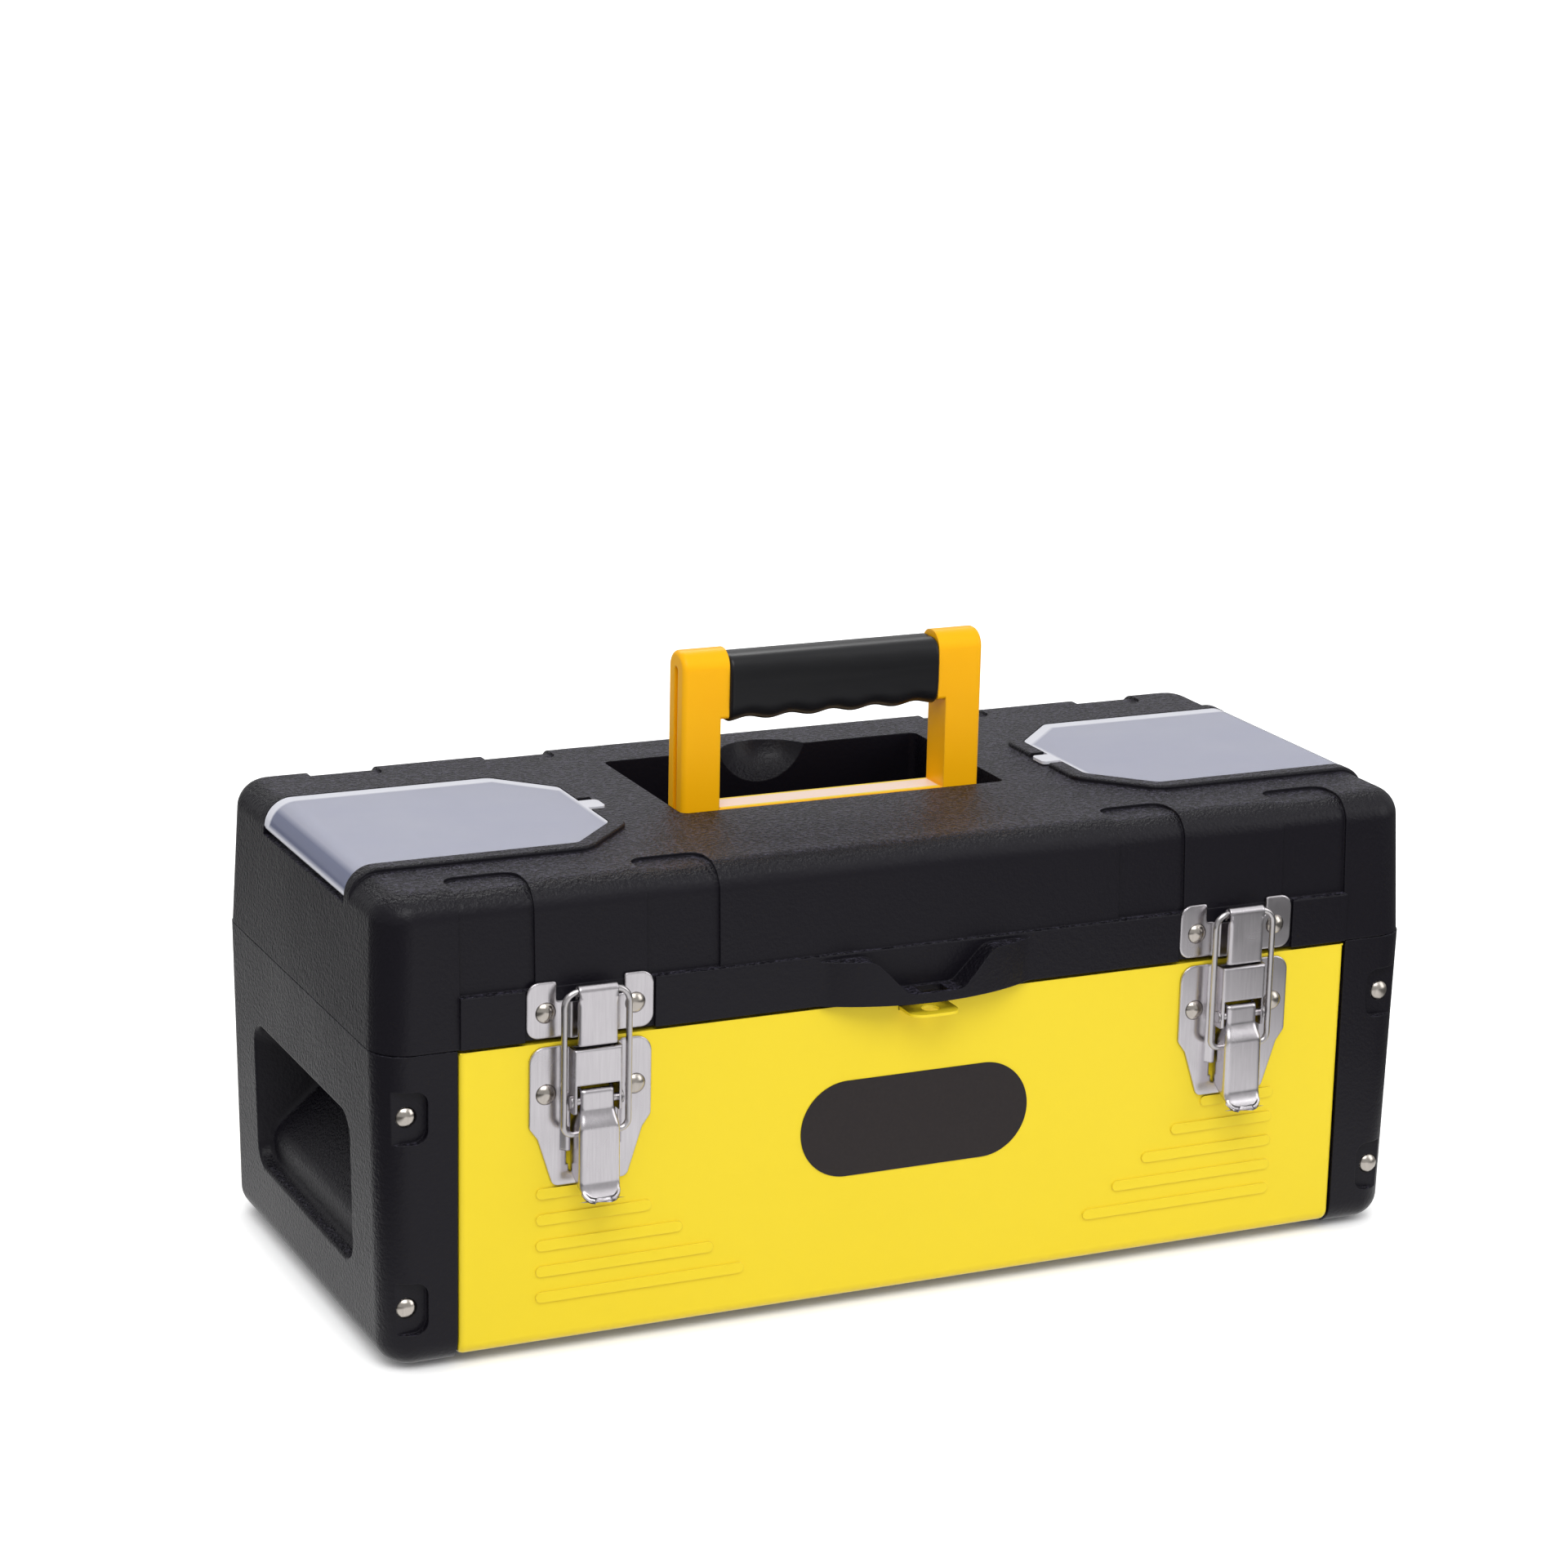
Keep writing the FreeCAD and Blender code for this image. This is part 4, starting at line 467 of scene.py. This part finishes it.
def bordered_strip():
    """Cream film whose colour turns lemon where |y - middle| is more than half the width less strip_line."""
    material, tree, shader, coords, tint = printed_film("cream_strip_film", colour="#efd5c4", second="#f3dccd",
                                                        roughness=0.35)
    low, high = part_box("handle_strip")
    middle = (low[1] + high[1]) / 2
    start = (high[1] - low[1]) / 2 - strip_line
    centred = add(tree, "Mapping", {"Location": (0, -middle, 0)}, {"Vector": coords.outputs["Object"]})
    parts = add(tree, "SeparateXYZ", links={"Vector": centred.outputs["Vector"]})
    away = add(tree, "Math", {"operation": "ABSOLUTE"}, {0: parts.outputs["Y"]})
    border = add(tree, "Math", {"operation": "GREATER_THAN", 1: start}, {0: away.outputs["Value"]})
    colour = add(tree, "MixRGB", {"Color2": linear("#f1d23a")},
                 {"Fac": border.outputs["Value"], "Color1": tint.outputs["Color"]})
    join(tree, shader, {"Base Color": colour.outputs["Color"]})
    return material


label_film = printed_film("dark_label_film", colour="#262122", second="#2c2728", roughness=0.42)[0]
strip_film = bordered_strip()
print("made", label_film.name, strip_film.name)

# %% [markdown]
# ## New pieces
# Each CAD piece names the material slot that its finish belongs to. A new mesh that stands for a CAD piece takes
# its finish, its slot and the body that carries it, so that it moves with the joints. One function does all of
# that for arrays of places and faces.

# %% New pieces
finish_of_slot = {"yellow_steel": enamel, "black_plastic": lid_plastic, "latch_steel": latch_steel,
                  "zinc_steel": wire_steel, "nickel_rivet": nickel, "yellow_plastic": handle_yellow,
                  "black_grip": grip_black, "clear_plastic": cover_milky, "dark_label": label_film,
                  "cream_strip": strip_film, "tray_plastic": tray_plastic}


def new_piece(name, places, faces, node):
    """Mesh object from arrays of places and faces, shaded smooth, which stands for a CAD node."""
    mesh = bpy.data.meshes.new(name)
    mesh.from_pydata(places.tolist(), [], faces.tolist())
    mesh.shade_smooth()
    mesh.materials.append(finish_of_slot[slot_of_node[node]])
    piece = bpy.data.objects.new(name, mesh)
    bpy.context.collection.objects.link(piece)
    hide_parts(node)
    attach(piece, body_of_node[node])
    return piece


for node, cad_piece in frame["nodes"].items():
    cad_piece.data.materials.clear()
    cad_piece.data.materials.append(finish_of_slot[slot_of_node[node]])
print("finishes:", len(finish_of_slot))

# %% [markdown]
# ## Smooth skins
# The CAD pieces arrive as loose triangles, so their fillets and domes would shade as flat facets. A skin is a
# copy of such a piece whose corners are welded by place, shaded smooth across shallow angles and sharp across
# steep ones. The Weighted Normal modifier lets the large flat faces keep their own direction, so that only the
# fillets look round. The label and the strip are flat, so they stay as they came, and the grip, the levers and
# the hook strips are modelled further on.

# %% Skins for the CAD pieces
sharp_angle = math.radians(32)
weld_digits = 6
flat_nodes = ("front_label", "handle_strip")
sides = ("left", "right")
modelled_nodes = ("hand_grip", *("latch_lever_" + side for side in sides),
                  *("hook_strip_" + side for side in sides))


def welded(mesh):
    """Places and triangles with equal corners made one: unique rows of the places, rounded to a micron."""
    places = np.empty(len(mesh.vertices) * 3)
    mesh.vertices.foreach_get("co", places)
    corners = np.empty(len(mesh.loops), dtype=int)
    mesh.loops.foreach_get("vertex_index", corners)
    unique, index = np.unique(places.reshape(-1, 3).round(weld_digits), axis=0, return_inverse=True)
    faces = index.reshape(-1)[corners].reshape(-1, 3)
    whole = (faces != np.roll(faces, 1, axis=1)).all(axis=1)
    return unique, faces[whole]


def smooth_skin(node):
    """Welded copy of a CAD piece with smooth fillets and flat flats."""
    places, faces = welded(frame["nodes"][node].data)
    piece = new_piece(node + "_skin", places, faces, node)
    piece.data.set_sharp_from_angle(angle=sharp_angle)
    level = piece.modifiers.new("flats stay flat", "WEIGHTED_NORMAL")
    level.keep_sharp = True
    return piece


skins = [smooth_skin(node) for node in frame["nodes"] if node not in flat_nodes + modelled_nodes]
print("skins:", len(skins), "faces:", sum(len(skin.data.polygons) for skin in skins))

# %% [markdown]
# ## Hand grip
# The grip is a soft sleeve pushed over the core bar: a rounded section, finger waves along its underside, a
# moulding seam along the top and soft ends. A section carried along the bar does it: at each station the lower
# edge follows a cosine wave, and near the ends the section draws in along a quarter circle. Solidify then gives
# the open tube its wall, towards the bar.

# %% Hand grip
wave_count = 5
wave_depth = 1.4 * MM
end_round = 1.6 * MM
seam_half_width = 0.5 * MM
seam_depth = 0.45 * MM
seam_angle = math.radians(60)
squareness = 3.6
sleeve_thick = 1.2 * MM
grip_stations, grip_steps = 160, 120


def grip_surface(stations, steps):
    """Superellipse of angle; its height shrinks with 1 - cos of the wave, and its ends draw in."""
    low, high = (np.array(corner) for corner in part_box("hand_grip"))
    along = np.linspace(0, 1, stations)
    x = low[0] + (high[0] - low[0]) * (0.5 - 0.5 * np.cos(np.pi * along))
    near_end = np.minimum(x - low[0], high[0] - x)
    draw_in = end_round - np.sqrt(np.maximum(end_round ** 2 - np.maximum(end_round - near_end, 0) ** 2, 0))
    wave = 0.5 - 0.5 * np.cos(2 * np.pi * wave_count * (x - low[0]) / (high[0] - low[0]))
    bottom = low[2] + wave_depth * wave + draw_in
    top = high[2] - draw_in
    half_depth = (high[1] - low[1]) / 2 - draw_in
    angle = np.linspace(0, 2 * np.pi, steps, endpoint=False)
    across = np.sign(np.cos(angle)) * np.abs(np.cos(angle)) ** (2 / squareness)
    upward = np.sign(np.sin(angle)) * np.abs(np.sin(angle)) ** (2 / squareness)
    y = (low[1] + high[1]) / 2 + half_depth[:, None] * across
    z = (top + bottom)[:, None] / 2 + (top - bottom)[:, None] / 2 * upward
    groove = (np.abs(half_depth[:, None] * across) < seam_half_width) & (upward > 0)
    places = np.stack([np.repeat(x[:, None], steps, axis=1), y, z - seam_depth * groove], axis=2)
    return places.reshape(-1, 3)


def tube_faces(stations, steps):
    """Quads between neighbouring rings of a tube; the last place of a ring meets the first."""
    ring = np.arange(steps)
    start = np.arange(stations - 1)[:, None] * steps
    quads = np.stack([start + ring, start + np.roll(ring, -1), start + steps + np.roll(ring, -1),
                      start + steps + ring], axis=2)
    return quads.reshape(-1, 4)


def thicken(piece, thickness):
    """Solidify to the inner side, so that the outer face stays where it was worked out."""
    shell = piece.modifiers.new("wall thickness", "SOLIDIFY")
    shell.thickness, shell.offset, shell.use_even_offset = thickness, -1, True


grip = new_piece("grip_sleeve", grip_surface(grip_stations, grip_steps),
                 tube_faces(grip_stations, grip_steps), "hand_grip")
grip.data.set_sharp_from_angle(angle=seam_angle)
thicken(grip, sleeve_thick)
print("grip faces:", len(grip.data.polygons), "before thickening")

# %% [markdown]
# ## Folded strips
# Levers and hook strips are both pressed from strip whose long edges are folded back. A section of such a strip
# is a channel: a flat band, a quarter circle at each fold and a wall behind it. Giving every row of a grid its
# own width, wall and fold lets one strip change along its length, and a smooth step takes it from one shape to
# the next without a crease.

# %% Folded strips
band_share, fold_share = 0.5, 0.3
least_fold = 0.3 * MM
strip_columns = 45


def smooth_step(value, start, end):
    """Nought before start, one after end, and 3t^2 - 2t^3 between, with t the share of the way."""
    t = np.clip((value - start) / (end - start), 0, 1)
    return t * t * (3 - 2 * t)


def channel(half_width, wall, fold, steps):
    """Places across a channel for each row: the band, a quarter circle at each fold, and the walls behind."""
    t = np.linspace(-1, 1, steps)[None, :]
    half_width, wall, fold = half_width[:, None], wall[:, None], fold[:, None]
    wall_start = band_share + fold_share
    band = np.clip(np.abs(t) / band_share, 0, 1)
    angle = np.clip((np.abs(t) - band_share) / fold_share, 0, 1) * np.pi / 2
    behind = np.clip((np.abs(t) - wall_start) / (1 - wall_start), 0, 1)
    across = np.sign(t) * (band * (half_width - fold) + fold * np.sin(angle))
    return across, fold * (1 - np.cos(angle)) + behind * np.maximum(wall - fold, 0)


def grid_faces(rows, columns):
    """Quads between neighbouring rows and columns of a grid, listed row by row."""
    first = (np.arange(rows - 1)[:, None] * columns + np.arange(columns - 1)).reshape(-1)
    return np.stack([first, first + 1, first + columns + 1, first + columns], axis=1)


print("quads in a strip of 10 rows:", len(grid_faces(10, strip_columns)))

# %% [markdown]
# ## Latch levers
# A lever is one strip, folded into a channel: a front band with two walls that reach back to the plate. The head
# is narrow and rolled back at its top, a soft step brings the blade outwards over the wire, and the tip flares
# for a finger. Every height has a half width, a front and a depth of wall, so the lever is a grid of heights by
# places across the section, thickened to the strip's own thickness. Spans are shares of the way down.

# %% Latch levers
lever_rows = 120
strip_thick = 1.1 * MM
fold_radius = 1.7 * MM
head_half_width, blade_half_width, tip_half_width = 6.7 * MM, 8.0 * MM, 7.8 * MM
tip_round = 4.5 * MM
cad_tip_reach = 8.3 * MM
step_out, lean_out, flare_out = 2.4 * MM, 1.0 * MM, 3.4 * MM
plate_gap = 1.8 * MM
step_span = (0.18, 0.36)
widen_span = (0.16, 0.4)
deepen_span = (0.2, 0.34)
fade_span = (0.76, 0.97)
flare_start = 0.84


def lever_surface(side, rows, columns):
    """Places of the lever's outer face: front as a sum of a roll, a step, a lean and a square-law flare."""
    low, high = (np.array(corner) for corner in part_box("latch_lever_" + side))
    plate_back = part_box("latch_base_" + side)[1][1]
    z = np.linspace(low[2], high[2], rows)
    drop = (high[2] - z) / (high[2] - low[2])
    roll = fold_radius * (1 - np.sqrt(1 - np.clip(1 - (high[2] - z) / fold_radius, 0, 1) ** 2))
    flare = flare_out * np.clip((drop - flare_start) / (1 - flare_start), 0, 1) ** 2
    head_front = low[1] + cad_tip_reach
    front = head_front + roll - step_out * smooth_step(drop, *step_span) - lean_out * drop - flare
    half_width = (head_half_width + (blade_half_width - head_half_width) * smooth_step(drop, *widen_span)
                  + (tip_half_width - blade_half_width) * smooth_step(drop, flare_start, 1.0))
    tip = np.clip(1 - (z - low[2]) / tip_round, 0, 1)
    half_width = half_width - tip_round * (1 - np.sqrt(1 - tip ** 2))
    deep = plate_back - plate_gap - front
    head_wall = high[1] - head_front
    wall = head_wall + (deep - head_wall) * smooth_step(drop, *deepen_span)
    wall = wall * (1 - smooth_step(drop, *fade_span))
    fold = np.minimum(fold_radius, np.maximum(wall, least_fold))
    across, depth = channel(half_width, wall, fold, columns)
    middle = (low[0] + high[0]) / 2
    height = np.repeat(z[:, None], columns, axis=1)
    return np.stack([middle + across, front[:, None] + depth, height], axis=2).reshape(-1, 3)


for side in sides:
    lever = new_piece("lever_channel_" + side, lever_surface(side, lever_rows, strip_columns),
                      grid_faces(lever_rows, strip_columns), "latch_lever_" + side)
    thicken(lever, strip_thick)
print("lever faces:", len(lever.data.polygons), "before thickening")

# %% [markdown]
# ## Hook strips
# The strip that hides the wire's top bar is curled over it: straight up the front, half a turn over the bar and
# a short way down behind. Its long edges are folded back a little along the straight part, and fade out before
# the curl, where the wire leaves at both sides.

# %% Hook strips
hook_rows = 90
curl_thick = 0.9 * MM
edge_fold = 1.2 * MM
edge_wall = 1.8 * MM
tail_length = 2.5 * MM
fade_before_curl = (5 * MM, 1 * MM)


def hook_surface(side, rows, columns):
    """Places of the outer face: a path of a straight, a half circle and a short straight, with folded edges."""
    low, high = (np.array(corner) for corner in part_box("hook_strip_" + side))
    radius = (high[1] - low[1]) / 2
    straight = high[2] - radius - low[2]
    turn = np.pi * radius
    s = np.linspace(0, straight + turn + tail_length, rows)
    angle = np.clip((s - straight) / radius, 0, np.pi)
    y = low[1] + radius * (1 - np.cos(angle))
    z = low[2] + np.minimum(s, straight) + radius * np.sin(angle) - np.maximum(s - straight - turn, 0)
    fade = 1 - smooth_step(s, straight - fade_before_curl[0], straight - fade_before_curl[1])
    half_width = np.full(rows, (high[0] - low[0]) / 2)
    across, depth = channel(half_width, edge_wall * fade, np.maximum(edge_fold * fade, least_fold), columns)
    inward_y, inward_z = np.cos(angle)[:, None], -np.sin(angle)[:, None]
    places = np.stack([(low[0] + high[0]) / 2 + across, y[:, None] + depth * inward_y,
                       z[:, None] + depth * inward_z], axis=2)
    return places.reshape(-1, 3)


for side in sides:
    hook = new_piece("hook_curl_" + side, hook_surface(side, hook_rows, strip_columns),
                     grid_faces(hook_rows, strip_columns), "hook_strip_" + side)
    thicken(hook, curl_thick)
print("hook faces:", len(hook.data.polygons), "before thickening")

# %% [markdown]
# ## Floor
# The photograph has a white ground. The floor is matt white paper that takes the shadow. To the camera and
# through clear plastic it also glows a little, so that it reads as white up to the horizon and only the shadow
# shows; ambient occlusion keeps that glow out of the narrow gap under the box, which paints a dark contact
# shadow there. Reflections see a roll of paper half a metre wide in a darker room, which leaves the ends of
# the box and the sides of the latches dark.

# %% Floor
floor_glow = 0.55
floor_reach = 6.0
paper_half_width = 0.25
paper_fade = 0.12
room_level = 0.15
contact_reach = 0.012
paper_fibre_mm = 8


def white_paper():
    """Matt white paper that also glows to seen rays; reflections see only the paper's width, then a dim room."""
    material, tree, shader, coords = new_material("white_paper", Roughness=0.9, Specular_IOR_Level=0.1)
    fibre = add(tree, "TexNoise", {"Scale": per_mm(paper_fibre_mm)}, {"Vector": coords.outputs["Object"]})
    tint = add(tree, "MixRGB", {"Color1": linear("#f2f2f2"), "Color2": linear("#f6f6f6")},
               {"Fac": fibre.outputs["Fac"]})
    join(tree, shader, {"Base Color": tint.outputs["Color"]})
    path = add(tree, "LightPath")
    seen = add(tree, "Math", {"operation": "MAXIMUM"},
               {0: path.outputs["Is Camera Ray"], 1: path.outputs["Is Transmission Ray"]})
    glow = add(tree, "Math", {"operation": "MULTIPLY", 1: floor_glow}, {0: seen.outputs["Value"]})
    # Painted contact shadow: ambient occlusion dims the glow in the narrow gap under the box.
    open_sky = add(tree, "AmbientOcclusion", {"samples": 8, "Distance": contact_reach})
    light = add(tree, "Emission", links={"Strength": glow.outputs["Value"], "Color": open_sky.outputs["Color"]})
    both = add(tree, "AddShader", links={0: shader.outputs["BSDF"], 1: light.outputs["Emission"]})
    parts = add(tree, "SeparateXYZ", links={"Vector": coords.outputs["Object"]})
    away = add(tree, "Math", {"operation": "ABSOLUTE"}, {0: parts.outputs["X"]})
    level = add(tree, "MapRange", {"From Min": paper_half_width, "From Max": paper_half_width + paper_fade,
                                   "To Min": 1.0, "To Max": room_level}, {"Value": away.outputs["Value"]})
    mirrored = add(tree, "Emission", links={"Strength": level.outputs["Result"]})
    surface = add(tree, "MixShader", links={"Fac": path.outputs["Is Glossy Ray"], 1: both.outputs["Shader"],
                                            2: mirrored.outputs["Emission"]})
    tree.links.new(surface.outputs["Shader"], tree.nodes["Material Output"].inputs["Surface"])
    return material


def pale_floor():
    """Flat sheet on the plane of the feet, floor_reach metres to each side."""
    mesh = bpy.data.meshes.new("floor")
    corners = np.array([(-1, -1, 0), (1, -1, 0), (1, 1, 0), (-1, 1, 0)]) * floor_reach
    mesh.from_pydata(corners.tolist(), [], [(0, 1, 2, 3)])
    mesh.materials.append(white_paper())
    floor = bpy.data.objects.new("floor", mesh)
    bpy.context.collection.objects.link(floor)
    return floor


print("floor:", pale_floor().name)

# %% [markdown]
# ## Lamps
# The light in the photograph is soft and comes from above and in front. Three large rectangles give it: a key
# lamp at the front left, a weak fill at the right and one behind that draws the grain of the lid's top. Their
# powers are low, so that a colour renders about as it is written.

# %% Lamps


def soft_lamp(name, place, aim, width, height, power):
    """Rectangular lamp at place, turned to face aim."""
    lamp = bpy.data.lights.new(name, "AREA")
    lamp.shape = "RECTANGLE"
    lamp.size, lamp.size_y, lamp.energy = width, height, power
    holder = bpy.data.objects.new(name, lamp)
    bpy.context.collection.objects.link(holder)
    holder.location = place
    holder.rotation_euler = (Vector(aim) - Vector(place)).to_track_quat("-Z", "Y").to_euler()


soft_lamp("key", place=(-0.5, -1.4, 1.9), aim=(0, 0, 0.1), width=1.6, height=1.2, power=24)
soft_lamp("fill", place=(1.6, -1.2, 0.9), aim=(0, 0, 0.1), width=1.0, height=1.2, power=7)
soft_lamp("back", place=(0.2, 1.5, 1.6), aim=(0, 0, 0.15), width=1.6, height=0.8, power=12)
print("lamps:", [item.name for item in bpy.data.lights])

# %% [markdown]
# ## World
# The world adds an even soft light. The camera, and clear plastic, see it as plain white. Reflections see a
# bright ceiling over grey walls, so that steel is light where it faces up and darker where it faces sideways,
# as it is under a studio's overhead lamps.

# %% World
ambient_level = 0.62
wall_level = 0.5
ceiling_level = 1.0
wall_top, ceiling_start = 0.45, 0.75


def studio_world():
    """White to seen rays, walls and ceiling by the height of the direction to reflections, else soft grey."""
    world = bpy.data.worlds.new("studio")
    bpy.context.scene.world = world
    world.use_nodes = True
    tree = world.node_tree
    tree.nodes.clear()
    white = linear("#ffffff")
    path = add(tree, "LightPath")
    direct = add(tree, "Math", {"operation": "MAXIMUM"},
                 {0: path.outputs["Is Camera Ray"], 1: path.outputs["Is Transmission Ray"]})
    direction = add(tree, "SeparateXYZ", links={"Vector": add(tree, "TexCoord").outputs["Generated"]})
    room = add(tree, "MapRange", {"From Min": wall_top, "From Max": ceiling_start, "To Min": wall_level,
                                  "To Max": ceiling_level}, {"Value": direction.outputs["Z"]})
    ambient = add(tree, "Background", {"Strength": ambient_level, "Color": white})
    mirrored = add(tree, "Background", {"Color": white}, {"Strength": room.outputs["Result"]})
    backdrop = add(tree, "Background", {"Strength": 1.0, "Color": white})
    inner = add(tree, "MixShader", links={"Fac": path.outputs["Is Glossy Ray"],
                                          1: ambient.outputs["Background"], 2: mirrored.outputs["Background"]})
    outer = add(tree, "MixShader", links={"Fac": direct.outputs["Value"],
                                          1: inner.outputs["Shader"], 2: backdrop.outputs["Background"]})
    add(tree, "OutputWorld", links={"Surface": outer.outputs["Shader"]})


studio_world()
bpy.context.scene.view_settings.view_transform = "Standard"
print("world:", bpy.context.scene.world.name)

# %% [markdown]
# ## Camera
# The view was found by matching rivets, panel corners and cover outlines in the photograph with the same points
# of the box. The camera's axis runs through the middle of the picture, so it needs no shift, and the box stays
# in the frame when the camera is moved to other sides.

# %% Camera
frame_px = 1920
focal_px = 4940.7
azimuth, elevation, roll = math.radians(-24.74), math.radians(15.4), math.radians(1.27)
camera_mm = (-651.4, -1373.6, 598.7)
nearest_seen, farthest_seen = 0.05, 50


def photo_camera():
    """Camera whose axes follow azimuth, elevation and roll, with the picture's own focal length."""
    back = Vector((math.sin(azimuth) * math.cos(elevation), -math.cos(azimuth) * math.cos(elevation),
                   math.sin(elevation)))
    right = Vector((math.cos(azimuth), math.sin(azimuth), 0))
    up = back.cross(right)
    across = right * math.cos(roll) + up * math.sin(roll)
    upward = up * math.cos(roll) - right * math.sin(roll)
    data = bpy.data.cameras.new("camera")
    data.sensor_width = 36.0
    data.lens = data.sensor_width * focal_px / frame_px
    data.clip_start, data.clip_end = nearest_seen, farthest_seen
    camera = bpy.data.objects.new("camera", data)
    bpy.context.collection.objects.link(camera)
    turn = Matrix((across, upward, back)).transposed().to_4x4()
    camera.matrix_world = Matrix.Translation(Vector(camera_mm) * MM) @ turn
    bpy.context.scene.camera = camera
    return camera


print("lens in mm:", round(photo_camera().data.lens, 1))
